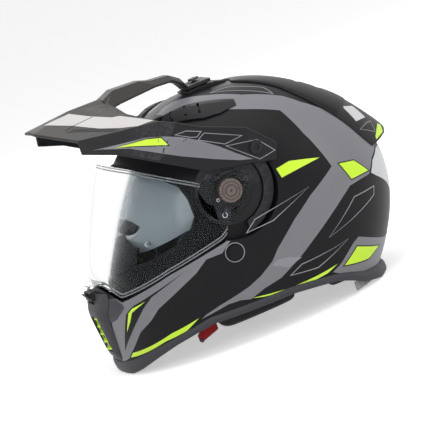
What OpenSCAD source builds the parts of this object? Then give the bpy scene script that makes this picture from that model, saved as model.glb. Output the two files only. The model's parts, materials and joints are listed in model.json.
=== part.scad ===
// Enduro helmet with peak, face shield, sun visor, liners and strap.
// Front is -Y, the wearer's left is +X, up is +Z. The helmet stands on its rim trim at z = 0.

/* [Shell] */
// Half width of the shell at its widest level
shell_half_w = 130; // [127:0.5:133]
// Reach of the shell ahead of its middle section
shell_front = 172; // [169:1:175]
// Reach of the shell behind its middle section
shell_back = 175; // [172:1:178]
// Height of the crown above the rest plane
shell_h = 250; // [247:1:254]
// Thickness of the moulded shell
shell_t = 4; // [3:0.5:4.5]
// Level at which the shell is widest
wide_z = 112; // [108:1:116]
// Level below which the chin front stands upright
chin_z = 80; // [76:1:84]
// Draw-in of the sides towards the rim
tuck_side = 14; // [10:1:16]
// Draw-in of the chin towards the rim
tuck_front = 4; // [2:1:6]
// Draw-in of the nape towards the rim
tuck_back = 53; // [50:1:56]
// Place of the middle section along the helmet
mid_y = -5; // [-8:0.5:-3]

/* [Rim] */
// Rim level at the chin
rim_chin = 12; // [10:1:14]
// Highest rim level, at the side
rim_side = 40; // [37:1:42]
// Rim level at the nape
rim_nape = 10; // [9:1:12]
// Height of the trim along the side
trim_side_h = 8; // [6:1:10]
// Thickness of the trim at its lower edge
trim_t = 6; // [5:0.5:7]
// Flare of the trim at the nape
trim_flare = 5; // [3:1:7]

/* [Shield pivot] */
// Height of the shield pivot
pivot_z = 156; // [153:1:159]
// Distance of the shield pivot ahead of the middle section
pivot_ahead = 25; // [22:1:28]
// Radius of the round recess in the shell
recess_r = 51; // [48:1:54]
// Distance from the middle plane to the recess floor
recess_x = 116.5; // [115.5:0.5:117]
// Radius of the pivot base plate
base_r = 36; // [34:1:38]
// Thickness of the pivot base plate
base_t = 3; // [2.5:0.5:3.2]
// Radius of the pivot boss
boss_r = 9; // [8:0.5:10]
// Radius of the quick-release knob
knob_r = 12.8; // [12:0.2:13.6]
// Height of the knob above the shield ear
knob_h = 5.4; // [4:0.2:7]
// Number of detent teeth on each base plate
detent_count = 9; // [5:1:12]

/* [Face shield] */
// Half width of the shield over its ears
shield_half_w = 124; // [123.5:0.5:125]
// Thickness of the shield
shield_t = 2.6; // [2.2:0.2:2.8]
// Distance from the pivot to the raked front of the shield
shield_face_r = 97; // [96:0.5:99]
// Angle of the raked front's normal above the horizontal
shield_rake = 29.5; // [28.5:0.5:30.5]
// Distance from the pivot to the upright lower front
shield_front_r = 141; // [139:0.5:143]
// Radius of the ear round the pivot
ear_r = 20; // [19:0.5:22]
// Outer radius of the hub ring in each ear
hub_r = 14.6; // [14:0.2:15.2]
// Space between the shield and the shell's pocket
shield_gap = 2; // [1.6:0.2:2.6]

/* [Sun visor] */
// Distance of the sun visor's front line behind the shell's front reach
sun_front_gap = 41; // [39:1:43]
// Height of the sun visor's pivot
sun_z = 100; // [98:1:102]
// Distance of the sun visor's pivot behind the middle section
sun_behind = 8; // [6:1:10]
// Space between the sun visor's barrel form and the shell's widest level
sun_side_gap = 20; // [19:0.5:21]
// Thickness of the sun visor
sun_t = 2; // [1.6:0.2:2.4]
// Travel of the sun visor in degrees
sun_travel = 38; // [34:1:40]

/* [Peak] */
// Thickness of the peak's walls
peak_t = 3.2; // [2.6:0.2:4]
// How far the middle of the peak's arms stands inside the shell's widest level
peak_tuck = 1; // [0:0.5:2.5]
// Distance from the middle section to the peak's tip
peak_reach = 173; // [168:1:178]
// Height of the peak's tip above the crown
peak_lift = 22; // [19:1:25]
// Height of the side screws
peak_screw_z = 187.6; // [185:0.5:190]
// Distance of the side screws behind the middle section
peak_screw_behind = 15.2; // [12:0.4:18]
// Radius of the side screw shanks
peak_screw_r = 3.5; // [3:0.25:4]

/* [Vents] */
// Half width of the chin vent panel at its top
chin_panel_w = 42; // [38:1:46]
// Number of fins on the chin vent
fin_count = 5; // [3:1:7]
// Number of slots in each crown scoop
scoop_slots = 3; // [2:1:4]
// Travel of the brow vent slider
brow_travel = 8; // [4:1:10]
// Travel of the crown scoop sliders
scoop_travel = 6; // [4:1:8]
// Travel of the chin vent slider
chin_travel = 4; // [2:0.5:6]

/* [Interior] */
// Half width of the hollow in the crown liner
cavity_half_w = 86; // [84:1:88]
// Half length of the hollow in the crown liner
cavity_half_l = 104; // [101:1:106]
// Top level of the hollow in the crown liner
cavity_top = 208; // [204:1:211]
// Distance of the hollow's middle behind the middle section
cavity_behind = 26; // [24:1:28]
// Thickness of the crown pad
pad_t = 9; // [7:1:11]
// Half width of the liner's opening before the wearer's eyes
face_half_w = 74; // [66:1:74]
// Top level of the liner's opening before the wearer's eyes
face_top = 168; // [160:1:168]
// Outer face of the upper cheek pads
cheek_x = 84; // [82:1:86]
// Thickness of the upper cheek pads
cheek_t = 26; // [22:1:30]

/* [Chin strap] */
// Width of the webbing
strap_w = 22; // [18:1:25]
// Thickness of the webbing
strap_t = 2; // [1.6:0.2:2.4]
// Level of the buckle
buckle_z = 30; // [28:1:34]
// Number of teeth on the buckle's tongue
tooth_count = 9; // [6:1:11]
// Pitch of the tongue's teeth
tooth_pitch = 3; // [2.6:0.2:3.4]

/* [Hidden] */

shell_n = 2.25;
shell_cols = 40;
shell_rows = 14;
fit_gap = 0.3;
run_gap = 0.05;
shield_in = shield_half_w - 3;
shield_out = shield_half_w + 0.2;
ear_plate_r = 32.3;
eps_gap = 0.6;
pivot_y = mid_y - pivot_ahead;
sun_y = mid_y + sun_behind;
sun_r = shell_front - sun_front_gap;
sun_half_w = shell_half_w - sun_side_gap;
peak_half_w = shell_half_w - peak_tuck;
peak_screw_y = mid_y + peak_screw_behind;
wide = 400;

// Fall of a rounded profile from 1 at u = 0 to 0 at u = 1.
function ease(u, m, n) = pow(max(0, 1 - pow(max(0, u), m)), 1 / n);
function clamp01(u) = max(0, min(1, u));
function mix(a, b, u) = a + (b - a) * u;
function unit(v) = v / norm(v);

// Half width and reach of the shell's level section at height z.
function half_w(z) = z > wide_z
    ? shell_half_w * ease((z - wide_z) / (shell_h - wide_z), 2.3, 2.1)
    : shell_half_w - tuck_side * pow((wide_z - z) / wide_z, 2);
function reach_front(z) = z > chin_z
    ? shell_front * ease((z - chin_z) / (shell_h - chin_z), 1.15, 2)
    : shell_front - tuck_front * pow((chin_z - z) / chin_z, 2);
function reach_back(z) = z > wide_z
    ? shell_back * ease((z - wide_z) / (shell_h - wide_z), 1.8, 2)
    : shell_back - tuck_back * pow((wide_z - z) / wide_z, 2);

// Moves a point of the skin inward by about d, or outward where d is negative.
function inset(p, d) = [
    p[0] * (1 - d / shell_half_w),
    mid_y + (p[1] - mid_y) * (1 - d / shell_back),
    p[2] * (1 - d / shell_h)
];

// Point of the skin at angle t from the front, through the left side, and height z.
function skin(t, z, d = 0) = inset([
    half_w(z) * sign(sin(t)) * pow(abs(sin(t)), 2 / shell_n),
    mid_y - (cos(t) > 0 ? reach_front(z) : reach_back(z)) * sign(cos(t)) * pow(abs(cos(t)), 2 / shell_n),
    z
], d);

// Point of the chin front at side distance x and height z.
function skin_chin(x, z, d = 0) = inset([
    x, mid_y - reach_front(z) * ease(abs(x) / half_w(z), shell_n, shell_n), z
], d);

// Point of the back at side distance x and height z.
function skin_rear(x, z, d = 0) = inset([
    x, mid_y + reach_back(z) * ease(abs(x) / half_w(z), shell_n, shell_n), z
], d);

// Height of the crown over a plan point, by halving.
function outside(x, y, z) = pow(abs(x) / max(half_w(z), 0.01), shell_n)
    + pow(abs(y - mid_y) / max(y < mid_y ? reach_front(z) : reach_back(z), 0.01), shell_n) > 1;
function crown_z(x, y, lo = 112, hi = 250, steps = 16) = steps == 0 ? (lo + hi) / 2
    : let (z = (lo + hi) / 2) outside(x, y, z)
        ? crown_z(x, y, lo, z, steps - 1)
        : crown_z(x, y, z, hi, steps - 1);
function skin_top(x, y, d = 0) = inset([x, y, crown_z(x, y, wide_z, shell_h)], d);

// Rim level and trim bottom at angle t from the front.
function fold(t) = let (m = abs(t) % 360) m > 180 ? 360 - m : m;
function rim_at(t) = t < 62
    ? mix(rim_chin, rim_side, lookup(t, [[0, 0], [20, 0.18], [45, 0.64], [62, 1]]))
    : mix(rim_nape, rim_side,
        lookup(t, [[62, 1], [90, 0.95], [108, 0.7], [128, 0.23], [150, 0.05], [180, 0]]));
function trim_h(t) = trim_side_h + 7 * lookup(t, [[0, 1], [14, 1], [45, 0], [108, 0], [150, 1], [180, 1]]);
function trim_low(t) = max(0, rim_at(t) - trim_h(t));
// Point at height z, a distance by outside the shell's lower edge.
function trim_pt(t, by, z) = let (p = skin(t, rim_at(fold(t)) - 0.1, -by)) [p[0], p[1], z];

// A closed solid from rings of points, each ring run anticlockwise as seen from the last one.
module rings_solid(rings, foot_up = 0) {
    m = len(rings);
    n = len(rings[0]);
    points = [for (r = rings) each r, mean(rings[0]) + [0, 0, foot_up], mean(rings[m - 1])];
    faces = [
        for (j = [0:m - 2]) for (i = [0:n - 1]) each [
            [j * n + i, (j + 1) * n + i, (j + 1) * n + (i + 1) % n],
            [j * n + i, (j + 1) * n + (i + 1) % n, j * n + (i + 1) % n]
        ],
        for (i = [0:n - 1]) [i, (i + 1) % n, m * n],
        for (i = [0:n - 1]) [(m - 1) * n + i, m * n + 1, (m - 1) * n + (i + 1) % n]
    ];
    polyhedron(points, faces);
}
function mean(ring) = [for (k = [0:2]) sum([for (p = ring) p[k]]) / len(ring)];
function sum(v, i = 0) = i >= len(v) ? 0 : v[i] + sum(v, i + 1);

// A closed solid between an outer and an inner grid of points with the same counts.
module slab(outer, inner) {
    m = len(outer);
    n = len(outer[0]);
    low = m * n;
    points = [for (r = outer) each r, for (r = inner) each r];
    faces = [
        for (j = [0:m - 2]) for (i = [0:n - 2]) let (a = j * n + i, b = a + 1, c = a + n, d = c + 1) each [
            [a, c, d], [a, d, b], [low + a, low + b, low + d], [low + a, low + d, low + c]
        ],
        for (i = [0:n - 2]) let (a = i, b = i + 1, c = (m - 1) * n + i, d = c + 1) each [
            [a, b, low + b], [a, low + b, low + a], [d, c, low + c], [d, low + c, low + d]
        ],
        for (j = [0:m - 2]) let (a = j * n, c = a + n, b = a + n - 1, d = b + n) each [
            [c, a, low + a], [c, low + a, low + c], [b, d, low + d], [b, low + d, low + b]
        ]
    ];
    polyhedron(points, faces);
}

// Keeps a blended moulding as one skin.
module moulding() {
    resize([0, 0, 0]) children();
}

// Extrudes a side outline, drawn as (y, z), from x0 to x1.
module across(x0, x1) {
    translate([x0, 0, 0]) rotate([90, 0, 90]) linear_extrude(x1 - x0) children();
}

// A round rod from a point toward the left.
module rod(from, r, h, fn = 48) {
    translate(from) rotate([0, 90, 0]) cylinder(r = r, h = h, $fn = fn);
}

// A shape given for the left side, or its mirror image on the right.
module on_side(left) {
    mirror([left ? 0 : 1, 0, 0]) children();
}

module both_sides() {
    on_side(true) children();
    on_side(false) children();
}

// The shell's form, inset by d, from the rim less a drop up to the crown.
module dome(d, drop = 0) {
    rows = [for (j = [0:shell_rows - 1]) [for (i = [0:shell_cols - 1])
        let (t = 360 * i / shell_cols, low = rim_at(fold(t)) - drop)
        skin(t, low + (shell_h - low) * sin(90 * j / shell_rows), d)
    ]];
    cap = [for (i = [0:shell_cols - 1]) skin(360 * i / shell_cols, shell_h - 0.4, d)];
    rings_solid(concat(rows, [cap]), drop > 0 ? 0 : (rim_side - rim_nape) / 2);
}

// Distance from the pivot to the shield at angle f above the forward horizontal.
function raked(f, d) = (shield_face_r - d) / max(0.02, cos(f - shield_rake));
function upright(f, d) = (shield_front_r - d) / max(0.1, cos(f));
function shield_r(f, d) = min(260, f < -45 ? upright(f, d)
    : pow(pow(raked(f, d), -30) + pow(upright(f, d), -30), -1 / 30) + 2 * sin(clamp01((f + 22) / 55) * 180));
function shield_p(f) = 2.6 + 2.4 * clamp01((f + 23) / 56);
// Point of the shield at angle f and across angle c, from 0 at the left ear to 180 at the right.
function shield_pt(f, c, d) = let (r = shield_r(f, d) * pow(sin(c), 2 / shield_p(f))) [
    (shield_half_w - d) * sign(cos(c)) * pow(abs(cos(c)), 2 / 2.2),
    pivot_y - r * cos(f),
    pivot_z + r * sin(f)
];

// Everything inside the shield's surface, inset by d.
module shield_core(d) {
    low = -78;
    high = 58;
    rings_solid([for (i = [0:22]) let (c = mix(178, 2, i / 22)) [
        [shield_pt(0, c, d)[0], pivot_y, pivot_z],
        for (j = [0:13]) shield_pt(mix(high, low, j / 13), c, d)
    ]]);
}

function beside_pivot(p) = [pivot_y - p[0], pivot_z + p[1]];
shield_rear = [[2.3, -26], [14.6, -39.7], [23.8, -45], [50.6, -50.6], [84, -58], [131, -73]];
module shield_outline(margin = 0) {
    offset(delta = margin) union() {
        translate(beside_pivot([0, 0])) circle(ear_r, $fn = 40);
        polygon([for (p = concat([[-ear_r + 1.5, -8]], shield_rear,
            [[139.5, -58.4], [165, -58.4], [165, 90], [79, 51], [27, 18.9], [8, 18]])) beside_pivot(p)]);
    }
}

// Space in the shell that the shield lies in, grown by a margin at its edge and a depth under it.
module shield_pocket(margin, depth) {
    difference() {
        across(-wide, wide) intersection() {
            shield_outline(margin);
            polygon([for (p = [[0, 0], [200, -400], [400, -300], [400, 400], [150, 240]]) beside_pivot(p)]);
        }
        shield_core(shield_t + depth);
    }
}

module pivot_recess(grow) {
    both_sides() across(recess_x - grow, wide)
        translate([pivot_y, pivot_z]) circle(recess_r + grow, $fn = 48);
}

// Side outline of the eye-port.
module port_outline(margin = 0) {
    offset(r = margin) offset(r = 5, $fn = 16) offset(delta = -5) polygon([
        for (p = [[250, 225], [117, 222], [96, 206], [78, 190], [64, 176], [61.5, 160], [63, 141],
            [71, 130], [89, 119], [122, 109], [157, 108], [250, 108]]) [mid_y - p[0], p[1]]
    ]);
}

module port_cut(margin = 0) {
    across(-wide, wide) port_outline(margin);
}

// The shell's outer form with its pockets, shrunk by d and cut deeper by the same amount.
module pocketed(d, drop = 0) {
    difference() {
        dome(d, drop);
        shield_pocket(2.5 + d, shield_gap + d);
        pivot_recess(d);
    }
}

module outer_shell() {
    color("#232328") moulding() difference() {
        pocketed(0);
        pocketed(shell_t, 12);
        port_cut();
        shell_holes();
    }
}

// Holes for screws and rivets, with a seat for each rivet cap.
module shell_holes() {
    both_sides() {
        rivet(rivet_skin - 20, rivet_r + 0.1, 40, 20);
        rivet(rivet_skin, cap_r + fit_gap, 10, 28);
        rod([100, peak_screw_y, peak_screw_z], peak_screw_r + 0.1, 30, 24);
        for (s = base_screw_spots)
            rod([100, pivot_y - s[0], pivot_z + s[1]], base_screw_r + 0.1, 30, 16);
    }
    translate([0, mount_screw_y, shell_h - 20]) cylinder(r = top_screw_r + 0.1, h = 40, $fn = 20);
}

module rim_trim() {
    cols = shell_cols;
    flare = [for (i = [0:cols - 1]) trim_flare * pow(max(0, -cos(360 * i / cols)), 3)];
    sections = [for (i = [0:cols]) let (
        t = 360 * i / cols, f = fold(t), top = rim_at(f) - 0.1, low = trim_low(f), fl = flare[i % cols]
    ) [
        trim_pt(t, 1.2, top),
        trim_pt(t, 3 + fl * 0.6, mix(top, low, 0.45)),
        trim_pt(t, 1.5 + fl, low),
        trim_pt(t, fl - trim_t, low),
        trim_pt(t, -trim_t + 1, mix(top, low, 0.5)),
        trim_pt(t, -shell_t, top)
    ]];
    color("#47474c") moulding() ring_loop(sections);
}

// A closed loop of sections; the last section repeats the first.
module ring_loop(sections) {
    m = len(sections) - 1;
    n = len(sections[0]);
    polyhedron(
        [for (j = [0:m - 1]) each sections[j]],
        [for (j = [0:m - 1]) for (i = [0:n - 1]) let (
            a = j * n + i,
            b = j * n + (i + 1) % n,
            c = ((j + 1) % m) * n + i,
            d = ((j + 1) % m) * n + (i + 1) % n
        ) each [[a, c, d], [a, d, b]]]
    );
}

module eyeport_gasket() {
    color("#151517") moulding() intersection() {
        across(-wide, wide) difference() {
            port_outline(-0.1);
            port_outline(-3.2);
        }
        difference() {
            dome(-0.8, 0);
            shield_pocket(2, shield_gap - 1);
            pivot_recess(0);
            pocketed(shell_t + 2.5, 12);
        }
    }
}

// Spine and spoiler: rows down the back with their half width and their stand-off.
tail_z = 131;
spoiler_rows = [
    [244, 18, 1.5], [242, 25, 3], [237, 33, 3.6], [228, 45, 4], [215, 60, 4.5], [201, 70, 5.5],
    [186, 76, 8], [170, 78, 10], [152, 78, 14], [140, 75, 18], [tail_z, 70, 21]
];
function rear_normal(z) = unit([0, 1, reach_back(z - 0.5) - reach_back(z + 0.5)]);
module rear_spoiler() {
    cols = 14;
    top = [for (r = spoiler_rows) [for (i = [0:cols]) let (
        u = 1 - 2 * i / cols, x = min(r[1], half_w(r[0]) * 0.97) * u,
        rise = 1 + (r[2] - 1) * pow(1 - abs(u), r[2] > 9 ? 0.85 : 0.35)
    ) skin_rear(x, r[0], -0.55) + rear_normal(r[0]) * rise]];
    bottom = [for (r = spoiler_rows) [for (i = [0:cols]) let (u = 1 - 2 * i / cols)
        skin_rear(min(r[1], half_w(r[0]) * 0.97) * u, r[0], -0.55)]];
    color("#2c2c30") moulding() difference() {
        slab(reverse(top), reverse(bottom));
        for (k = [0:1]) across(-24, 24) polygon([
            for (p = [[104 + 17 * k, 214 - 15 * k], [112 + 17 * k, 207 - 15 * k],
                [124 + 17 * k, 216 - 15 * k], [116 + 17 * k, 224 - 15 * k]]) [mid_y + p[0], p[1]]
        ]);
    }
}
function reverse(v) = [for (i = [len(v) - 1:-1:0]) v[i]];

// Louvred outlet under the spoiler's tail.
module spoiler_grille() {
    color("#1b1b1e") translate(skin_rear(0, tail_z, -1)) rotate([asin(rear_normal(tail_z)[2]), 0, 0])
        translate([-24, 1.6, -fit_gap - 2.4]) difference() {
            cube([48, 10, 2.4]);
            for (i = [0:6]) translate([3 + 6.2 * i, 2, -1]) cube([4, 6, 5]);
        }
}

// Crown scoops: plan points along the inner and outer edge, front to back.
scoop_in = [[16, 56], [30, 46], [40, 34], [47, 20], [53, 8], [60, -10], [67, -28]];
scoop_out = [[24, 57], [44, 50], [60, 38], [70, 25], [78, 12], [80, -6], [76, -26]];
function along(rows, k, c) = let (i = min(floor(k), len(rows) - 2)) mix(rows[i][c], rows[i + 1][c], k - i);
function scoop_pt(k, v, d) = skin_top(mix(along(scoop_in, k, 0), along(scoop_out, k, 0), v),
    mid_y - mix(along(scoop_in, k, 1), along(scoop_out, k, 1), v), d);
scoop_rise = [0.8, 3.5, 5, 5.5, 5, 3, 0.6];
module scoop_body() {
    rows = len(scoop_in) - 1;
    cols = 4;
    difference() {
        slab([for (k = [0:rows]) [for (i = [0:cols]) let (arch = sin(180 * mix(0.12, 0.88, i / cols)))
                scoop_pt(rows - k, 1 - i / cols, -1.1 - scoop_rise[rows - k] * arch)]],
            [for (k = [0:rows]) [for (i = [0:cols]) scoop_pt(rows - k, 1 - i / cols, -0.5)]]);
        for (k = [0:scoop_slots - 1]) scoop_slot(k, 2.4, 6);
        scoop_slider_form(fit_gap, scoop_travel);
    }
}
// Slots lie across the scoop's front face.
module scoop_slot(k, h, deep) {
    p = scoop_pt(2 + k, 0.5, -3);
    translate(p) rotate([0, 38, -20]) cube([deep * 2.2, h, deep], center = true);
}
scoop_dir = unit(scoop_pt(1, 0.5, 0) - scoop_pt(0, 0.5, 0));
// A block that lies in the scoop's nose and slides along it.
module scoop_slider_form(grow, slack = 0) {
    translate(scoop_pt(0.9, 0.5, -4)) rotate([0, -asin(scoop_dir[2]), atan2(scoop_dir[1], scoop_dir[0])])
        translate([-4 - grow, -3 - grow, -1.6 - grow]) cube([8 + 2 * grow + slack, 6 + 2 * grow, 3.2 + grow]);
}
module scoop_slider_body() {
    scoop_slider_form(0);
    translate(scoop_pt(0.9, 0.5, -4)) rotate([0, -asin(scoop_dir[2]), atan2(scoop_dir[1], scoop_dir[0])])
        for (k = [-1:1]) translate([k * 2.4, 0, 1.9]) cube([1, 6, 1], center = true);
}
module scoop_left() {
    color("#3a3a3f") moulding() scoop_body();
}
module scoop_right() {
    color("#3a3a3f") moulding() on_side(false) scoop_body();
}
module scoop_slider_left() {
    color("#1d1d20") scoop_slider_body();
}
module scoop_slider_right() {
    color("#1d1d20") on_side(false) scoop_slider_body();
}

// Brow vent on the forehead, above the eye-port.
module brow_vent() {
    rows = [[212, 26, 0.8], [216, 30, 3], [222, 30, 3.2], [227, 24, 1]];
    color("#1d1d20") moulding() difference() {
        slab([for (r = rows) [for (i = [0:8]) skin_chin(r[1] * (i / 4 - 1), r[0], -fit_gap - r[2])]],
            [for (r = rows) [for (i = [0:8]) skin_chin(r[1] * (i / 4 - 1), r[0], -fit_gap)]]);
        brow_slider_form(fit_gap, brow_travel);
    }
}
module brow_slider_form(grow, slack = 0) {
    translate(skin_chin(0, 219, -2.2)) rotate([-46, 0, 0]) translate([slack / 2, 0, 0])
        cube([22 + slack + 2 * grow, 3 + 2 * grow, 4 + 2 * grow], center = true);
}
module brow_vent_slider() {
    color("#2b2b2f") union() {
        brow_slider_form(0);
        translate(skin_chin(0, 219, -2.2)) rotate([-46, 0, 0])
            for (k = [-2:2]) translate([k * 4, -1.9, 0]) cube([2, 1.4, 4], center = true);
    }
}

// Chin vent panel: rows with half width and stand-off.
chin_rows = [
    [15.6, 16, 1.2], [23, 19, 4.4], [38, 24, 5.4], [58, 28, 6.6],
    [68, 30, 6.6], [75, 36, 4.6], [83, 41, 2.2], [90, 38, 2.6]
];
function chin_pt(x, r, d) = skin_chin(x * r[1] * chin_panel_w / 42, r[0], d);
module chin_vent_panel() {
    color("#47474c") moulding() difference() {
        slab([for (r = chin_rows) [for (i = [0:12]) let (u = i / 6 - 1)
                chin_pt(u, r, -fit_gap - 0.8 - (r[2] - 0.8) * (1 - pow(abs(u), 6)))]],
            [for (r = chin_rows) [for (i = [0:12]) chin_pt(i / 6 - 1, r, -fit_gap)]]);
        chin_slider_form(fit_gap, chin_travel);
        translate([0, mid_y - shell_front - 6, 46]) cube([26, 9, 40], center = true);
    }
}
module chin_vent_fins() {
    color("#d5ff2f") for (k = [0:fin_count - 1]) let (z = mix(30, 62, k / (fin_count - 1)))
        translate([0, mid_y - shell_front - 6 - 0.06 * (z - 30), z]) rotate([28, 0, 0])
            linear_extrude(2.4, center = true)
                polygon([[-12.7, 4.2], [-12.7, 0], [-7, -3.4], [7, -3.4], [12.7, 0], [12.7, 4.2]]);
}
module chin_slider_form(grow, slack = 0) {
    translate([-12 - grow, mid_y - shell_front - 4.6 - grow, 84 - slack - grow])
        cube([24 + 2 * grow, 4.2 + 2 * grow, 9 + slack + 2 * grow]);
}
module chin_vent_slider() {
    color("#1d1d20") union() {
        chin_slider_form(0);
        translate([-9, mid_y - shell_front - 6.2, 90]) rotate([0, 90, 0])
            linear_extrude(18) polygon([[0, 2], [-3, -2.2], [0.4, -1], [4.5, 2]]);
    }
}

// Crescent pods in the rear part of the pivot recess.
module pod_body() {
    intersection() {
        difference() {
            translate([recess_x, pivot_y, pivot_z]) rotate([0, 90, 0])
                cylinder(r1 = recess_r - 0.5, r2 = recess_r - 3, h = 5.4, $fn = 80);
            turned(recess_x - 1, base_r + 1.4, 9, 80);
        }
        across(0, wide) difference() {
            polygon([for (p = [[8, 8], [-90, 70], [-90, -50], [-6, -62], [-8, -26]]) beside_pivot(p)]);
            translate([peak_screw_y, peak_screw_z]) circle(7, $fn = 32);
        }
    }
}
module side_pod_left() {
    color("#2a2a2e") pod_body();
}
module side_pod_right() {
    color("#2a2a2e") on_side(false) pod_body();
}

// Base plate with detent teeth and the boss that the shield turns on.
module turned(x0, r, h, fn = 64) {
    translate([x0, pivot_y, pivot_z]) rotate([0, 90, 0]) cylinder(r = r, h = h, $fn = fn);
}
base_screw_spots = [[9, -20.6], [-21, 4], [16, 20]];
base_screw_r = 2;
module base_body() {
    difference() {
        union() {
            turned(recess_x, base_r, base_t);
            turned(recess_x, boss_r, shield_half_w + 0.2 - recess_x);
            for (k = [0:detent_count - 1]) let (a = 200 + 9 * k)
                translate([recess_x, pivot_y - (base_r - 9) * cos(a), pivot_z + (base_r - 9) * sin(a)])
                    rotate([0, 90, 0]) cylinder(r = 1.3, h = base_t + 0.9, $fn = 24);
        }
        turned(recess_x - 1, knob_pin_r + run_gap, 20, 48);
        for (s = base_screw_spots) translate([recess_x - 1, pivot_y - s[0], pivot_z + s[1]])
            rotate([0, 90, 0]) cylinder(r = base_screw_r + 0.1, h = 9, $fn = 32);
    }
}
knob_pin_r = 4;
module pivot_base_left() {
    color("#26262a") base_body();
}
module pivot_base_right() {
    color("#26262a") on_side(false) base_body();
}
module pivot_screws() {
    color("#55555a") both_sides() for (s = base_screw_spots)
        translate([recess_x - shell_t + 0.2, pivot_y - s[0], pivot_z + s[1]]) rotate([0, 90, 0]) union() {
            cylinder(r = base_screw_r, h = shell_t - 0.2 + base_t, $fn = 32);
            translate([0, 0, shell_t - 0.2 + base_t]) difference() {
                cylinder(r = 3.6, h = 0.9, $fn = 32);
                translate([0, 0, 0.4]) cylinder(r = 1.6, h = 2, $fn = 6);
            }
        }
}

// Quick-release knob with a coin slot and grip notches.
module knob_body() {
    x0 = shield_half_w + 0.5;
    difference() {
        union() {
            turned(x0, knob_r, knob_h - 1);
            translate([x0 + knob_h - 1, pivot_y, pivot_z]) rotate([0, 90, 0])
                cylinder(r1 = knob_r, r2 = knob_r - 1, h = 1, $fn = 64);
            turned(recess_x + 0.5, knob_pin_r, x0 - recess_x, 48);
        }
        for (k = [0:11]) translate([x0 + knob_h * 0.35, pivot_y, pivot_z]) rotate([30 * k + 15, 0, 0])
            translate([0, knob_r, 0]) rotate([0, 90, 0]) cylinder(r = 1.1, h = knob_h, $fn = 24);
        translate([x0 + knob_h, pivot_y, pivot_z]) difference() {
            rotate([0, 90, 0]) cylinder(r = 6.6, h = 1.6, center = true, $fn = 48);
            cube([4, 14, 2.6], center = true);
        }
    }
}
module shield_knob_left() {
    color("#857a75") knob_body();
}
module shield_knob_right() {
    color("#857a75") on_side(false) knob_body();
}

// Grid of points over the shield, from its lower to its upper edge.
function shield_grid(d) = [for (j = [0:11]) [for (i = [0:26])
    shield_pt(mix(-66, 47, j / 11), mix(176.2, 3.8, i / 26), d)
]];
// Clear face shield with its two flat ears and the lip tab.
module face_shield() {
    lip = shield_pt(-22.4, 90, 0);
    color([0.85, 0.9, 0.92, 0.4]) moulding() difference() {
        union() {
            intersection() {
                union() {
                    slab(shield_grid(0), shield_grid(shield_t));
                    both_sides() turned(shield_in, ear_plate_r, shield_out - shield_in, 48);
                }
                across(-wide, wide) shield_outline();
            }
            translate([0, lip[1] - 3.6, lip[2] + 0.4]) cube([36, 13, 2.2], center = true);
        }
        both_sides() turned(shield_in - 5, hub_r, 20, 48);
        fog_pins(fog_pin_r + 0.1, -5, 10, 16);
    }
}
fog_pin_r = 1.6;
// Round forms on the axes of the anti-fog pins, from z0 beyond the shield's inner face.
module fog_pins(r, z0, h, fn = 32) {
    for (c = [40, 140]) let (
        p = shield_pt(-14, c, shield_t),
        n = unit(cross(shield_pt(-13, c, shield_t) - p, shield_pt(-14, c + 1, shield_t) - p))
    ) translate(p) rotate([0, acos(n[2]), atan2(n[1], n[0])])
        translate([0, 0, z0]) cylinder(r = r, h = h, $fn = fn);
}

module hub_body() {
    difference() {
        turned(shield_in - 0.4, hub_r - 0.05, shield_out - shield_in + 0.4);
        turned(shield_in - 2, boss_r + run_gap, 20);
    }
}
module shield_hub_left() {
    color("#1d1d20") hub_body();
}
module shield_hub_right() {
    color("#1d1d20") on_side(false) hub_body();
}

// Anti-fog pins pressed through the shield.
module shield_pins() {
    color("#8a8d90") union() {
        fog_pins(fog_pin_r, -1, shield_t + 0.6);
        fog_pins(3, -2.3, 1.8);
    }
}

// Sun visor: a barrel-formed lens with two arms on its pivot pins.
function sun_ratio(x) = ease(abs(x) / sun_half_w, 3, 2);
function sun_pt(f, x, d) = let (r = sun_r * sun_ratio(x) - d) [x, sun_y - r * cos(f), sun_z + r * sin(f)];
sun_x = sun_half_w - 6;
sun_arm_x = 106.5;
module sun_outline() {
    polygon([for (p = [[0, 9], [-9, 0], [0, -9], [31, 2.6], [62, 25], [82, 28], [128, 17], [129, 30], [116, 42],
        [150, 120], [62, 98], [40, 50]]) [sun_y - p[0], sun_z + p[1]]]);
}
module sun_visor() {
    xs = [for (i = [0:18]) sun_x * cos(180 - 10 * i)];
    color([0.75, 0.8, 0.83, 0.5]) moulding() difference() {
        union() {
            intersection() {
                slab([for (j = [0:6]) [for (x = xs) sun_pt(mix(5, 52, j / 6), x, 0)]],
                    [for (j = [0:6]) [for (x = xs) sun_pt(mix(5, 52, j / 6), x, sun_t)]]);
                across(-wide, wide) sun_outline();
            }
            both_sides() across(sun_x - 1.5, sun_x + 0.8) intersection() {
                sun_outline();
                translate([sun_y, sun_z]) circle(66, $fn = 48);
            }
        }
        nose_notch();
        across(-wide, wide) translate([sun_y, sun_z]) circle(sun_pin_r + run_gap + 0.05, $fn = 48);
    }
}
sun_pin_r = 4;
module nose_notch() {
    translate([0, 0, sun_z + 12]) rotate([90, 0, 0]) linear_extrude(wide) offset(r = 8, $fn = 20)
        polygon([[-6, 10], [6, 10], [30, -20], [-30, -20]]);
}
module sun_visor_pins() {
    color("#6a6a6e") both_sides() translate([0, sun_y, sun_z]) rotate([0, 90, 0]) union() {
        translate([0, 0, sun_x - 4]) cylinder(r = sun_pin_r, h = 21, $fn = 48);
        translate([0, 0, sun_x + 1.6]) cylinder(r = 7, h = 2, $fn = 48);
        translate([0, 0, sun_x - 5.4]) cylinder(r = 6, h = 2, $fn = 48);
    }
}

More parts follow.
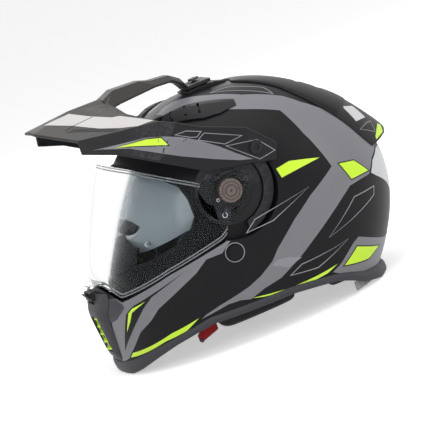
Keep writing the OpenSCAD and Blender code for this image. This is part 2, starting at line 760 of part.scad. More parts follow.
// Room in the liners for the sun visor and its arms over the whole travel.
module sun_room() {
    xs = [for (i = [0:12]) sun_x * cos(180 * i / 12)];
    translate([0, sun_y, sun_z]) rotate([0, 90, 0]) rotate([0, 0, 174]) rotate_extrude(angle = 100, $fn = 48)
        polygon(concat(
            [for (x = xs) [sun_r * sun_ratio(x) + 2.5, x]],
            [for (i = [len(xs) - 1:-1:0]) [sun_r * sun_ratio(xs[i]) - sun_t - 2.5, xs[i]]]
        ));
    both_sides() intersection() {
        across(sun_x - 4, sun_x + 10) translate([sun_y, sun_z]) circle(68, $fn = 48);
        across(0, wide) polygon([
            for (p = [[-14, -14], [16, -14], [90, 0], [90, 90], [-14, 90]]) [sun_y - p[0], sun_z + p[1]]
        ]);
    }
    both_sides() translate([sun_x - 6, sun_y, sun_z]) rotate([0, 90, 0]) {
        cylinder(r = 8, h = 16, $fn = 24);
        cylinder(r = sun_pin_r + fit_gap, h = 24, $fn = 24);
    }
}

// Lever that works the sun visor, low on the left side, with its track.
lever_x = shell_half_w - 21;
lever_y = mid_y - 25;
lever_run = 22;
track_z = 43.8;
track_h = 5;
module sun_visor_lever() {
    color("#1d1d20") union() {
        translate([lever_x - 1.5, lever_y, 34]) cube([3, 10, track_z + track_h - 0.4 - 34]);
        translate([lever_x - 4, lever_y + 5, 31]) rotate([0, 90, 0]) linear_extrude(8)
            polygon([[-3.6, -9], [-3.6, 9], [-2, 9], [2, 6], [3.2, 0], [2, -6], [-2, -9]]);
    }
}
module lever_track() {
    color("#2f2f33") difference() {
        translate([lever_x - 5, lever_y - 6, track_z]) cube([11, lever_run + 22, track_h]);
        translate([lever_x - 1.5 - fit_gap, lever_y - fit_gap, track_z - 1])
            cube([3 + 2 * fit_gap, 10 + lever_run + 2 * fit_gap, track_h + 2]);
    }
}

// Peak: corner points of its panels on the left half.
pk = function (x, ahead, up) [x, mid_y - ahead, up];
pk_tip = pk(0, peak_reach, shell_h + peak_lift);
pk_tip_l = pk(20, peak_reach - 1, shell_h + peak_lift - 2);
pk_corner = pk(92, 147, shell_h + 6);
pk_corner_low = pk(95, 148, shell_h - 6);
pk_crease = pk(102, 109, shell_h + 1);
pk_deck_out = pk(110, 67, shell_h - 4);
pk_deck_in = pk(30, 89, shell_h + 16);
pk_deck_mid = pk(62, 84, shell_h + 9);
pk_mid = pk(0, 89, shell_h + 26);
pk_mid_front = pk(0, 127, shell_h + 26.5);
pk_arm = [
    pk(peak_half_w - 10, 52, 239), pk(peak_half_w - 4, 32, 227), pk(peak_half_w - 0.5, -12, 209),
    pk(peak_half_w, -36, 184), pk(peak_half_w, -30, 169), pk(peak_half_w, -3, 176),
    pk(peak_half_w - 0.5, 41, 185), pk(peak_half_w - 7, 83, 211), pk(peak_half_w - 19, 119, 233)
];
pk_bar = [
    [89, 26, 27, 16], [76, 31.5, 25, 17.5], [46, 30, 23, 19], [34, 26, 22, 19.5],
    [14, 24, 20, 18], [4, 17, 19, 11], [0, 9, 18, 4.5]
];
module panel(points) {
    hull() for (p = points) translate(p) sphere(d = peak_t, $fn = 8);
}
module peak_half() {
    panel([pk_tip, pk_tip_l, pk_corner, pk_mid_front]);
    panel([pk_mid_front, pk_corner, pk_deck_mid]);
    panel([pk_mid_front, pk_mid, pk_deck_in, pk_deck_mid]);
    panel([pk_corner, pk_crease, pk_deck_mid]);
    panel([pk_crease, pk_deck_out, pk_deck_mid]);
    panel([pk_corner, pk_corner_low, pk_arm[8], pk_crease]);
    panel([pk_crease, pk_arm[8], pk_arm[7], pk_deck_out]);
    panel([pk_deck_out, pk_arm[0], pk_arm[7]]);
    panel([pk_arm[0], pk_arm[1], pk_arm[6], pk_arm[7]]);
    panel([pk_arm[1], pk_arm[2], pk_arm[5], pk_arm[6]]);
    panel([pk_arm[2], pk_arm[3], pk_arm[4], pk_arm[5]]);
}
module peak_bar() {
    for (k = [0:len(pk_bar) - 2]) hull() for (b = [pk_bar[k], pk_bar[k + 1]]) {
        translate([0, mid_y - b[0], shell_h + b[1]]) cube([b[2], 0.5, 1], center = true);
        translate([0, mid_y - b[0], shell_h + b[3]]) cube([2 * b[2], 0.5, 1], center = true);
    }
}
module peak() {
    color("#5d5856") moulding() difference() {
        union() {
            both_sides() peak_half();
            peak_bar();
            translate([-18, mid_y - 1, shell_h + mount_h]) cube([36, 27, foot_t]);
        }
        both_sides() rod([peak_half_w - 20, peak_screw_y, peak_screw_z], bush_r, 40, 40);
        for (s = [0, -7]) translate([0, mount_screw_y + s, shell_h]) cylinder(r = 3.2, h = 40, $fn = 32);
        translate([-3.2, mount_screw_y - 7, shell_h]) cube([6.4, 7, 40]);
    }
}
bush_r = 6.5;
mount_h = 3;
foot_t = 4;
head_gap = 2;
mount_screw_y = mid_y + 13;
top_screw_r = 2.5;
module peak_bushes() {
    color("#2b2b2f") both_sides() translate([peak_half_w - peak_t / 2, peak_screw_y, peak_screw_z])
        rotate([0, 90, 0]) difference() {
        cylinder(r = bush_r - 0.05, h = peak_t, $fn = 48);
        translate([0, 0, -1]) cylinder(r = peak_screw_r + run_gap, h = peak_t + 2, $fn = 48);
    }
}
peak_screw_tip = peak_half_w - 18;
peak_screw_step = peak_half_w - 12;
module peak_screws() {
    color("#1a1a1c") both_sides() translate([0, peak_screw_y, peak_screw_z]) rotate([0, 90, 0]) difference() {
        union() {
            translate([0, 0, peak_screw_tip])
                cylinder(r = peak_screw_r, h = peak_half_w + peak_t / 2 + 0.3 - peak_screw_tip, $fn = 48);
            translate([0, 0, peak_screw_step])
                cylinder(r = 6, h = peak_half_w - peak_t / 2 - fit_gap - peak_screw_step, $fn = 48);
            translate([0, 0, peak_half_w + peak_t / 2 + 0.3]) cylinder(r1 = 7.6, r2 = 6.6, h = 2.6, $fn = 48);
        }
        translate([0, 0, peak_half_w + peak_t / 2 + 2]) cylinder(r = 3, h = 3, $fn = 6);
    }
}
module peak_mount() {
    rows = [[-4, 17, 0.8], [2, 19, 2.2], [10, 19, 2.4], [30, 16, 2.6], [44, 9, 1]];
    color("#1d1d20") moulding() difference() {
        slab([for (k = [0:4]) let (r = rows[4 - k]) [for (i = [0:6]) let (x = r[1] * (1 - i / 3))
                [x, mid_y + r[0], shell_h + (r[0] < 28 ? r[2] : r[2] - 0.0032 * pow(r[0] - 8, 2))]]],
            [for (k = [0:4]) let (r = rows[4 - k]) [for (i = [0:6]) let (x = r[1] * (1 - i / 3))
                skin_top(x, mid_y + r[0], -0.5)]]);
        translate([0, mount_screw_y, shell_h - 8]) cylinder(r = top_screw_r + 0.1, h = 20, $fn = 32);
    }
}
module peak_top_screw() {
    color("#3a3a3e") translate([0, mount_screw_y, shell_h]) difference() {
        union() {
            translate([0, 0, -3]) cylinder(r = top_screw_r, h = mount_h + foot_t + head_gap + 3, $fn = 32);
            translate([0, 0, mount_h + foot_t + head_gap]) cylinder(r1 = 6.4, r2 = 5.4, h = 2.2, $fn = 40);
        }
        translate([0, 0, mount_h + foot_t + head_gap + 1.4]) cube([9, 1.4, 3], center = true);
    }
}

// Hollow of the crown liner, shrunk by d, open downward.
cavity_y = mid_y + cavity_behind;
module head_hollow(d) {
    translate([0, cavity_y, 105]) union() {
        scale([cavity_half_w - d, cavity_half_l - d, cavity_top - 105 - d]) sphere(r = 1, $fn = 24);
        translate([0, 0, -wide]) scale([cavity_half_w - d, cavity_half_l - d, 1])
            cylinder(r = 1, h = wide, $fn = 24);
    }
}
// Opening through the liners before the wearer's eyes.
module face_room(grow = 0) {
    translate([-face_half_w - grow, mid_y - wide, chin_z + 20])
        cube([2 * (face_half_w + grow), wide - 22, face_top - chin_z - 20 + grow]);
}
module eps_form() {
    difference() {
        intersection() {
            pocketed(shell_t + eps_gap, 12);
            dome(0, -1);
        }
        port_cut(3.5);
        sun_room();
    }
}
module crown_eps() {
    color("#2b2b2d") moulding() difference() {
        intersection() {
            eps_form();
            union() {
                translate([-wide, -wide, 118]) cube([2 * wide, 2 * wide, wide]);
                translate([-wide, mid_y + 28, 44]) cube([2 * wide, wide, wide]);
            }
        }
        head_hollow(0);
        face_room();
        both_sides() rod([108, peak_screw_y, peak_screw_z], 5, 20, 24);
    }
}
module cheek_eps_body() {
    difference() {
        intersection() {
            eps_form();
            translate([cheek_x + 0.4, mid_y - 84, 49]) cube([wide, 84 + 27.5, 117.5 - 49]);
        }
        across(0, wide) translate([rivet_y, rivet_z]) circle(7, $fn = 24);
        strap_room();
    }
}
module cheek_eps_left() {
    color("#2b2b2d") moulding() cheek_eps_body();
}
module cheek_eps_right() {
    color("#2b2b2d") moulding() on_side(false) cheek_eps_body();
}
module chin_eps() {
    color("#2b2b2d") moulding() difference() {
        intersection() {
            eps_form();
            translate([-wide, mid_y - wide, 18]) cube([2 * wide, wide - 84.6, 78.4]);
        }
        translate([0, mid_y - 60, -10]) scale([92, 88, 1]) cylinder(r = 1, h = 200, $fn = 40);
        both_sides() translate([78, mid_y - 104, 0]) cube([14, 40, 30]);
    }
}

// Comfort liner of the crown.
module crown_pad() {
    color("#1c1c1e") moulding() difference() {
        intersection() {
            head_hollow(0.4);
            translate([-wide, -wide, 120]) cube([2 * wide, 2 * wide, wide]);
        }
        head_hollow(pad_t);
        port_cut(6);
        face_room(3);
        sun_room();
    }
}

// Cheek pads: levels with outer face, inner face, and half length.
cheek_rows = [
    [15.5, 96, 76, 38], [18, 101, 68, 44], [26, 102, 62, 47], [38, 102, 59, 49], [44.5, 98, 58, 50],
    [48.7, 84, 58, 50], [80, 84, 57, 49], [100, 83.5, 59, 45], [108, 80, 66, 38]
];
module cheek_pad_body() {
    n = 24;
    difference() {
        rings_solid([for (r = cheek_rows) let (
            outer = r[1] > cheek_x ? r[1] : r[1] - 84 + cheek_x,
            inner = r[2] + cheek_x - cheek_t - 58
        ) [for (i = [0:n - 1]) let (a = 360 * i / n) [
            (outer + inner) / 2 + (outer - inner) / 2 * sign(cos(a)) * pow(abs(cos(a)), 0.55),
            mid_y - 30 + r[3] * sign(sin(a)) * pow(abs(sin(a)), 0.7),
            r[0]
        ]]]);
        strap_room();
    }
}
module cheek_pad_left() {
    color("#1a1a1c") moulding() cheek_pad_body();
}
module cheek_pad_right() {
    color("#1a1a1c") moulding() on_side(false) cheek_pad_body();
}

// Neck roll round the nape, inside the trim.
module neck_roll() {
    spans = 18;
    sections = [for (j = [0:spans]) let (
        t = mix(252, 108, j / spans),
        e = pow(sin(180 * mix(0.06, 0.94, j / spans)), 0.4),
        fat = 11 * e,
        tall = 19.8 * e
    ) [for (i = [0:9]) let (
        a = 36 * i,
        z = 24.8 + tall * sin(a),
        p = skin(t, z, 17.6 - fat * cos(a))
    ) [p[0], p[1], z]]];
    color("#1a1a1c") moulding() rings_solid(sections);
}

module chin_curtain() {
    outer = [for (i = [0:10]) let (t = mix(-26, 26, i / 10))
        trim_pt(t, -trim_t - 0.2, trim_low(fold(t)) + 5)];
    inner = [for (p = outer) [p[0] * 0.86, mix(p[1], mid_y - 112, 0.62), p[2] + 3]];
    thick = [0, 0, 1.4];
    color("#141416") moulding() slab(
        [outer, inner], [[for (p = outer) p - thick], [for (p = inner) p - thick]]
    );
}

// Breath guard that rises behind the chin bar.
module breath_guard() {
    function guard(i, k, out) = let (
        u = abs(i / 6 - 1), c = 90 - 36 * (i / 6 - 1),
        f = [-25, -17.5, mix(-13, -17, u)][k], d = [12.6, 14, mix(27, 15, pow(u, 0.8))][k]
    ) shield_pt(f, c, d + out);
    color("#202023") moulding() slab(
        [for (k = [0:2]) [for (i = [0:12]) guard(i, k, 0)]],
        [for (k = [0:2]) [for (i = [0:12]) guard(i, k, 2.2)]]
    );
}

module release_tabs() {
    color("#c41c22") both_sides() translate([85, mid_y - 30 - 47 - fit_gap - 23, 13]) union() {
        across(0, 1.8) offset(r = 2, $fn = 16) offset(delta = -2)
            polygon([[0, 0], [23, 7], [23, 15], [4, 12], [0, 9]]);
        across(-1.2, 3) translate([2.5, 2.5]) circle(2.2, $fn = 24);
    }
}

module neck_tab() {
    ts = [for (i = [0:6]) mix(120, 142, i / 6)];
    color("#c9cacc") both_sides() moulding() slab(
        [[for (t = ts) trim_pt(t, -trim_t - 0.3, 1.6)], [for (t = ts) trim_pt(t, -trim_t - 0.3, 11)]],
        [[for (t = ts) trim_pt(t, -trim_t - 1.5, 1.6)], [for (t = ts) trim_pt(t, -trim_t - 1.5, 11)]]
    );
}

// Chin strap: rivets, webbing and a toothed quick-release buckle.
rivet_y = mid_y - 43;
rivet_z = 95;
rivet_skin = skin_side_x(rivet_y, rivet_z);
function skin_side_x(y, z) = half_w(z)
    * ease(abs(y - mid_y) / (y < mid_y ? reach_front(z) : reach_back(z)), shell_n, shell_n);
rivet_r = 3;
cap_r = 8.2;
module rivet(x0, r, h, fn = 40) {
    translate([x0, rivet_y, rivet_z]) rotate([0, 90, 0]) cylinder(r = r, h = h, $fn = fn);
}
module strap_rivets() {
    color("#77777b") both_sides() union() {
        rivet(rivet_skin - shell_t - 7.6, rivet_r, shell_t + 7.6 - 0.4);
        rivet(rivet_skin - shell_t - 9.2, 6, 1.6);
    }
}
module rivet_caps() {
    color("#232328") both_sides() difference() {
        union() {
            rivet(rivet_skin + 0.1, cap_r, 1.6);
            rivet(rivet_skin + 1.6, cap_r - 1.6, 0.8);
        }
        rivet(rivet_skin + 1.9, 2.4, 2);
    }
}
strap_end_x = 20;
strap_anchor_x = 41.6;
// The left half runs on level for the tongue's travel, the right half only through the buckle's slot.
function strap_path(end_x) = [
    [rivet_skin - shell_t - 6, rivet_z + 5], [rivet_skin - shell_t - 6, rivet_z - 10], [cheek_x + 16, rivet_z - 18],
    [cheek_x + 3.4, rivet_z - 24], [cheek_x + 3, 58], [cheek_x - 4, 46], [cheek_x - 16, buckle_z + 5],
    [end_x + (end_x < 30 ? 19 : 12), buckle_z], [end_x, buckle_z]
];
function side_of(path, i) = let (
    a = unit(path[min(i + 1, len(path) - 1)] - path[max(i - 1, 0)])
) [-a[1], a[0]];
function stroke(path, t) = concat(
    [for (i = [0:len(path) - 1]) path[i] + side_of(path, i) * t / 2],
    [for (i = [len(path) - 1:-1:0]) path[i] - side_of(path, i) * t / 2]
);
// Webbing along a path drawn as (x, z).
module webbing(path, w, t) {
    translate([0, rivet_y + w / 2, 0]) rotate([90, 0, 0]) linear_extrude(w) polygon(stroke(path, t));
}
module strap_room() {
    for (x = [strap_end_x, strap_anchor_x]) webbing(strap_path(x), strap_w + 2, strap_t + 1.6);
}
module strap_half(end_x) {
    difference() {
        webbing(strap_path(end_x), strap_w, strap_t);
        rivet(rivet_skin - 20, rivet_r + 0.1, 40);
    }
}
module strap_left() {
    color("#18181a") strap_half(strap_end_x);
}
module strap_right() {
    color("#18181a") on_side(false) strap_half(strap_anchor_x);
}

// The buckle lies on the right half; its toothed tongue comes in from the left.
buckle_w = strap_w + 6;
buckle_l = 40;
buckle_end = -4.4 - strap_anchor_x;
tongue_t = 2;
tongue_travel = 12;
lever_pin_x = buckle_end + 10;
lever_pin_z = -4.6;
lever_pin_r = 1.5;
module at_buckle() {
    translate([0, rivet_y, buckle_z]) children();
}
// A plate drawn as (x, z), centred on the buckle's width.
module buckle_plate(w) {
    translate([0, w / 2, 0]) rotate([90, 0, 0]) linear_extrude(w) children();
}
module buckle_body() {
    color("#8d8f92") at_buckle() difference() {
        union() {
            translate([buckle_end, -buckle_w / 2, -2.6]) cube([buckle_l, buckle_w, 6]);
            for (s = [-1, 1]) scale([1, s, 1])
                translate([buckle_end + 6, buckle_w / 2 - 2, -7]) cube([16, 2, 6]);
        }
        translate([buckle_end + 8, -buckle_w / 2 + 2, -tongue_t / 2 - 0.3])
            cube([buckle_l, buckle_w - 4, tongue_t + 1.5]);
        translate([buckle_end + 8, -buckle_w / 2 + 2, -8]) cube([22, buckle_w - 4, 8]);
        translate([buckle_end - 2, -strap_w / 2 - 0.3, -strap_t / 2 - 0.3])
            cube([7, strap_w + 0.6, strap_t + 0.6]);
        translate([lever_pin_x, 20, lever_pin_z]) rotate([90, 0, 0])
            cylinder(r = lever_pin_r + run_gap, h = 40, $fn = 32);
    }
}
module buckle_lever() {
    color("#b51f24") at_buckle() union() {
        translate([lever_pin_x, buckle_w / 2 - 0.3, lever_pin_z]) rotate([90, 0, 0])
            cylinder(r = lever_pin_r, h = buckle_w - 0.6, $fn = 32);
        translate([lever_pin_x, 0, lever_pin_z]) buckle_plate(buckle_w - 4.6)
            polygon([
                [-1.4, 0.8], [0, 3], [2.4, 3], [3, 0.6], [17, -1], [23, -2.6],
                [23.4, -4.2], [16, -2.8], [0, -1.4], [-1.6, -1]
            ]);
    }
}
module buckle_tongue() {
    teeth_x = buckle_end + 9;
    pocket_x = strap_end_x - tongue_travel - 1;
    color("#2a2a2c") at_buckle() difference() {
        union() {
            translate([teeth_x, -buckle_w / 2 + 2.4, -tongue_t / 2])
                cube([pocket_x + 1 - teeth_x, buckle_w - 4.8, tongue_t]);
            for (k = [0:tooth_count - 1]) translate([teeth_x + tooth_pitch * k, 0, tongue_t / 2 - 0.1])
                buckle_plate(buckle_w - 10)
                    polygon([[0, 0], [tooth_pitch - 0.4, 0], [tooth_pitch - 0.4, 1.1]]);
            translate([pocket_x - 3, 0, 0]) buckle_plate(buckle_w) polygon([
                [0, -2.4], [2, -3.4], [20, -3.4], [23, -2], [23, 2], [20, 3.4], [2, 3.4], [0, 2.4]
            ]);
        }
        translate([pocket_x, -strap_w / 2 - 0.4, -strap_t / 2 - 0.4])
            cube([24, strap_w + 0.8, strap_t + 0.8]);
    }
}

outer_shell();
rim_trim();
eyeport_gasket();
rear_spoiler();
spoiler_grille();
scoop_left();
scoop_right();
scoop_slider_left();
scoop_slider_right();
brow_vent();
brow_vent_slider();
chin_vent_panel();
chin_vent_fins();
chin_vent_slider();
side_pod_left();
side_pod_right();
pivot_base_left();
pivot_base_right();
pivot_screws();
shield_knob_left();
shield_knob_right();
face_shield();
shield_hub_left();
shield_hub_right();
shield_pins();
sun_visor();
sun_visor_pins();
sun_visor_lever();
lever_track();
peak();
peak_bushes();
peak_screws();
peak_mount();
peak_top_screw();
crown_eps();
cheek_eps_left();
cheek_eps_right();
chin_eps();
crown_pad();
cheek_pad_left();
cheek_pad_right();
neck_roll();
chin_curtain();
breath_guard();
release_tabs();
neck_tab();
strap_rivets();
rivet_caps();
strap_left();
strap_right();
buckle_body();
buckle_lever();
buckle_tongue();
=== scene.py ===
import json
import math

import bmesh
import bpy
import numpy as np
from mathutils import Matrix, Vector, geometry
from mathutils.bvhtree import BVHTree

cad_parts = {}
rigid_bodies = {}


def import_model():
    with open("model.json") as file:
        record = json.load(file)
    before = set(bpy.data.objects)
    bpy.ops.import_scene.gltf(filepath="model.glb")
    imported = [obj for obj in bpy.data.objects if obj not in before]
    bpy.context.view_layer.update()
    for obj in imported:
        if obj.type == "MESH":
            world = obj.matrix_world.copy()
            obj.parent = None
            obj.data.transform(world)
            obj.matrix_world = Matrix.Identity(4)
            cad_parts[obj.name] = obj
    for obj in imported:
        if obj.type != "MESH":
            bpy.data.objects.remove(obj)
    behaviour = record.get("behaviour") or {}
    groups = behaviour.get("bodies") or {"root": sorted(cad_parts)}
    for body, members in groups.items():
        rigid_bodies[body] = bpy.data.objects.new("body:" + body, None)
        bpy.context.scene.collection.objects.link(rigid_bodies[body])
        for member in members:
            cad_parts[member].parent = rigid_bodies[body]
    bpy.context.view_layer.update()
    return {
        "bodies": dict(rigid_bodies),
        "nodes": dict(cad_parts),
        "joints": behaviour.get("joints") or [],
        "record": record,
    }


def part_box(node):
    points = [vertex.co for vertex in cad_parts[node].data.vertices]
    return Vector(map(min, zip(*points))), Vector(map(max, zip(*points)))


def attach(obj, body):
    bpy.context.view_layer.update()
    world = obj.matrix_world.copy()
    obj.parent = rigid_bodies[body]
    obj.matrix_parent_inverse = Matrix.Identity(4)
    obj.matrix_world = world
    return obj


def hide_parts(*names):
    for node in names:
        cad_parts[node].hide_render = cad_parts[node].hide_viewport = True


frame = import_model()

NODES = frame["nodes"]
MM = 0.001

# Sizes of the shell, in millimetres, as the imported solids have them.
SHELL_W, SHELL_FRONT, SHELL_BACK, SHELL_H, SHELL_T = 130.0, 172.0, 175.0, 250.0, 4.0
WIDE_Z, CHIN_Z, MID_Y = 112.0, 80.0, -5.0
TUCK_SIDE, TUCK_FRONT, TUCK_BACK = 14.0, 4.0, 53.0
SKIN_POWER = 2.25
RIM_CHIN, RIM_SIDE, RIM_NAPE = 12.0, 40.0, 10.0
TRIM_SIDE_H, TRIM_T, TRIM_FLARE = 8.0, 6.0, 5.0
PIVOT_Y, PIVOT_Z = MID_Y - 25.0, 156.0
RECESS_R, RECESS_X = 51.0, 116.5
SHIELD_W, SHIELD_T, SHIELD_FACE, SHIELD_RAKE, SHIELD_FRONT = 124.0, 2.6, 97.0, 29.5, 141.0
SHIELD_GAP, EAR_R, HUB_R = 2.0, 20.0, 14.6
KNOB_R, KNOB_H = 12.8, 5.4
RIVET_Y, RIVET_Z, RIVET_CAP_R = MID_Y - 43.0, 95.0, 8.2
SCREW_Y, SCREW_Z = MID_Y + 15.2, 187.6
POCKET_GAP, HOLLOW_DROP = 2.5, 12.0
FAR = 400.0


# Shell form.
def ease(u, m, n):
    return np.maximum(0.0, 1.0 - np.maximum(0.0, u) ** m) ** (1.0 / n)


def half_width(z):
    z = np.asarray(z, float)
    upper = SHELL_W * ease((z - WIDE_Z) / (SHELL_H - WIDE_Z), 2.3, 2.1)
    return np.where(z > WIDE_Z, upper, SHELL_W - TUCK_SIDE * ((WIDE_Z - z) / WIDE_Z) ** 2)


def reach_front(z):
    z = np.asarray(z, float)
    upper = SHELL_FRONT * ease((z - CHIN_Z) / (SHELL_H - CHIN_Z), 1.15, 2)
    return np.where(z > CHIN_Z, upper, SHELL_FRONT - TUCK_FRONT * ((CHIN_Z - z) / CHIN_Z) ** 2)


def reach_back(z):
    z = np.asarray(z, float)
    upper = SHELL_BACK * ease((z - WIDE_Z) / (SHELL_H - WIDE_Z), 1.8, 2)
    return np.where(z > WIDE_Z, upper, SHELL_BACK - TUCK_BACK * ((WIDE_Z - z) / WIDE_Z) ** 2)


def inset(p, d):
    p = np.asarray(p, float)
    k = 1 - np.asarray(d, float)[..., None] / [SHELL_W, SHELL_BACK, SHELL_H]
    return (p - [0, MID_Y, 0]) * k + [0, MID_Y, 0]


def skin(t, z, d=0.0):
    """Points of the skin at angles t from the front, through the left side, and heights z."""
    t, z = np.broadcast_arrays(np.asarray(t, float), np.asarray(z, float))
    s, c = np.sin(t), np.cos(t)
    reach = np.where(c > 0, reach_front(z), reach_back(z))
    x = half_width(z) * np.sign(s) * np.abs(s) ** (2 / SKIN_POWER)
    y = MID_Y - reach * np.sign(c) * np.abs(c) ** (2 / SKIN_POWER)
    return inset(np.stack([x, y, z], -1), d)


def skin_field(p):
    """Below 0 inside the skin and above 0 outside it."""
    x, y, z = p[..., 0], p[..., 1] - MID_Y, p[..., 2]
    w = np.maximum(half_width(np.minimum(z, SHELL_H)), 1e-3)
    r = np.maximum(np.where(y < 0, reach_front(np.minimum(z, SHELL_H)),
                            reach_back(np.minimum(z, SHELL_H))), 1e-3)
    f = (np.abs(x) / w) ** SKIN_POWER + (np.abs(y) / r) ** SKIN_POWER - 1
    return np.where(z >= SHELL_H, 1.0, f)


def skin_normal(p):
    """Outward unit normals of the skin through points near it."""
    p = np.asarray(p, float)
    step = 0.05
    grad = np.stack([
        np.minimum(skin_field(p + step * way), 3) - np.minimum(skin_field(p - step * way), 3)
        for way in np.eye(3)], -1)
    low = np.linalg.norm(grad, axis=-1) < 1e-9
    grad[low] = [0, 0, 1]
    crown = p[..., 2] > SHELL_H - 0.5
    grad[crown] = [0, 0, 1]
    return grad / np.linalg.norm(grad, axis=-1, keepdims=True)


MIDDLE = np.array([0.0, MID_Y, WIDE_Z])


def cast(directions):
    """Points where rays from the middle of the shell meet the skin."""
    d = directions / np.linalg.norm(directions, axis=-1, keepdims=True)
    low, high = np.full(d.shape[:-1], 20.0), np.full(d.shape[:-1], 320.0)
    for _ in range(40):
        mid = (low + high) / 2
        out = skin_field(MIDDLE + d * mid[..., None]) > 0
        high, low = np.where(out, mid, high), np.where(out, low, mid)
    return MIDDLE + d * low[..., None]


def side_skin(y, z):
    """Points of the left flank over side-view places (y, z)."""
    y, z = np.asarray(y, float), np.asarray(z, float)
    reach = np.where(y < MID_Y, reach_front(z), reach_back(z))
    x = half_width(z) * ease(np.abs(y - MID_Y) / reach, SKIN_POWER, SKIN_POWER)
    y = np.clip(y, MID_Y - reach, MID_Y + reach)
    return np.stack([x, y, z], -1)


def rear_skin(x, z, d=0.0):
    x, z = np.asarray(x, float), np.asarray(z, float)
    y = MID_Y + reach_back(z) * ease(np.abs(x) / half_width(z), SKIN_POWER, SKIN_POWER)
    return inset(np.stack(np.broadcast_arrays(x, y, z), -1), d)


def rim_level(t):
    a = np.degrees(np.abs(t)) % 360
    a = np.where(a > 180, 360 - a, a)
    front = RIM_CHIN + (RIM_SIDE - RIM_CHIN) * np.interp(a, [0, 20, 45, 62], [0, 0.18, 0.64, 1])
    back = RIM_NAPE + (RIM_SIDE - RIM_NAPE) * np.interp(
        a, [62, 90, 108, 128, 150, 180], [1, 0.95, 0.7, 0.23, 0.05, 0])
    return np.where(a < 62, front, back)


def trim_bottom(t):
    a = np.degrees(np.abs(t)) % 360
    a = np.where(a > 180, 360 - a, a)
    high = TRIM_SIDE_H + 7 * np.interp(a, [0, 14, 45, 108, 150, 180], [1, 1, 0, 0, 1, 1])
    return np.maximum(0, rim_level(t) - high)


# Mesh making.
def make_piece(name, points_mm, faces, material, sharp=35):
    mesh = bpy.data.meshes.new(name)
    mesh.from_pydata((np.asarray(points_mm, float) * MM).tolist(), [], [list(map(int, f)) for f in faces])
    mesh.validate()
    piece = bpy.data.objects.new(name, mesh)
    bpy.context.scene.collection.objects.link(piece)
    if material is not None:
        mesh.materials.append(material)
    mesh.shade_smooth()
    mesh.set_sharp_from_angle(angle=math.radians(sharp))
    return piece


def quads(rows, cols, wrap=False, base=0, flip=False):
    i, j = np.meshgrid(np.arange(cols if wrap else cols - 1), np.arange(rows - 1))
    a = base + j * cols + i
    b = base + j * cols + (i + 1) % cols
    q = np.stack([a, b, b + cols, a + cols], -1).reshape(-1, 4)
    return q[:, ::-1] if flip else q


def slab(outer, inner):
    """Closed solid between an outer and an inner grid, given as arrays rows x cols x 3."""
    m, n = outer.shape[:2]
    low = m * n
    faces = list(quads(m, n)) + list(quads(m, n, base=low, flip=True))
    for i in range(n - 1):
        faces.append((i + 1, i, low + i, low + i + 1))
        k = (m - 1) * n + i
        faces.append((k, k + 1, low + k + 1, low + k))
    for j in range(m - 1):
        a, c = j * n, (j + 1) * n
        faces.append((a, c, low + c, low + a))
        b, d = a + n - 1, c + n - 1
        faces.append((d, b, low + b, low + d))
    return np.concatenate([outer.reshape(-1, 3), inner.reshape(-1, 3)]), faces


def ring_solid(rings):
    """Closed solid from rings of points, an array rows x cols x 3, with a fan at each end."""
    m, n = rings.shape[:2]
    pts = np.concatenate([rings.reshape(-1, 3), [rings[0].mean(0)], [rings[-1].mean(0)]])
    faces = list(quads(m, n, wrap=True))
    faces += [((i + 1) % n, i, m * n) for i in range(n)]
    faces += [((m - 1) * n + i, (m - 1) * n + (i + 1) % n, m * n + 1) for i in range(n)]
    return pts, faces


def turn_of(outline):
    """Above 0 for an outline that runs anticlockwise, else below 0."""
    return np.sum(outline[:, 0] * np.roll(outline[:, 1], -1) - np.roll(outline[:, 0], -1) * outline[:, 1])


def fixed_turn(outline):
    return outline if turn_of(outline) > 0 else outline[::-1]


def prism(outline, x0, x1):
    """Closed solid from a side-view outline (y, z), between two places along X."""
    o = fixed_turn(np.asarray(outline, float))
    n = len(o)
    pts = np.concatenate([np.column_stack([np.full(n, x0), o]), np.column_stack([np.full(n, x1), o])])
    faces = [tuple(range(n))[::-1], tuple(range(n, 2 * n))]
    faces += [(i, (i + 1) % n, n + (i + 1) % n, n + i) for i in range(n)]
    return pts, faces


def circle(y, z, r, n=96):
    a = np.arange(n) * 2 * np.pi / n
    return np.column_stack([y + r * np.cos(a), z + r * np.sin(a)])


def ring_at(x, y, z, r, n):
    return np.column_stack([np.full(n, x), circle(y, z, r, n)])


def grown(outline, d):
    """An outline with its edges moved outward by d, with sharp corners."""
    o = np.asarray(outline, float)
    area = turn_of(o)
    e = np.roll(o, -1, 0) - o
    e /= np.linalg.norm(e, axis=1, keepdims=True)
    n = np.column_stack([e[:, 1], -e[:, 0]]) * (1 if area > 0 else -1)
    before = np.roll(n, 1, 0)
    k = 1 + np.sum(n * before, 1, keepdims=True)
    return o + d * (n + before) / np.maximum(k, 0.2)


def filleted(outline, r, steps=6):
    """An outline with its outward corners rounded to radius r."""
    o = np.asarray(outline, float)
    area = turn_of(o)
    out = []
    for k in range(len(o)):
        a, b, c = o[k - 1], o[k], o[(k + 1) % len(o)]
        u, v = (a - b) / np.linalg.norm(a - b), (c - b) / np.linalg.norm(c - b)
        turn = (u[0] * v[1] - u[1] * v[0]) * (-1 if area > 0 else 1)
        angle = math.acos(max(-1, min(1, float(u @ v))))
        if turn <= 0 or angle > math.radians(176):
            out.append(b)
            continue
        back = r / math.tan(angle / 2)
        centre = b + (u + v) / np.linalg.norm(u + v) * r / math.sin(angle / 2)
        p, q = b + u * back - centre, b + v * back - centre
        for s in np.linspace(0, 1, steps):
            w = p * (1 - s) + q * s
            out.append(centre + w / np.linalg.norm(w) * r)
    return np.array(out)


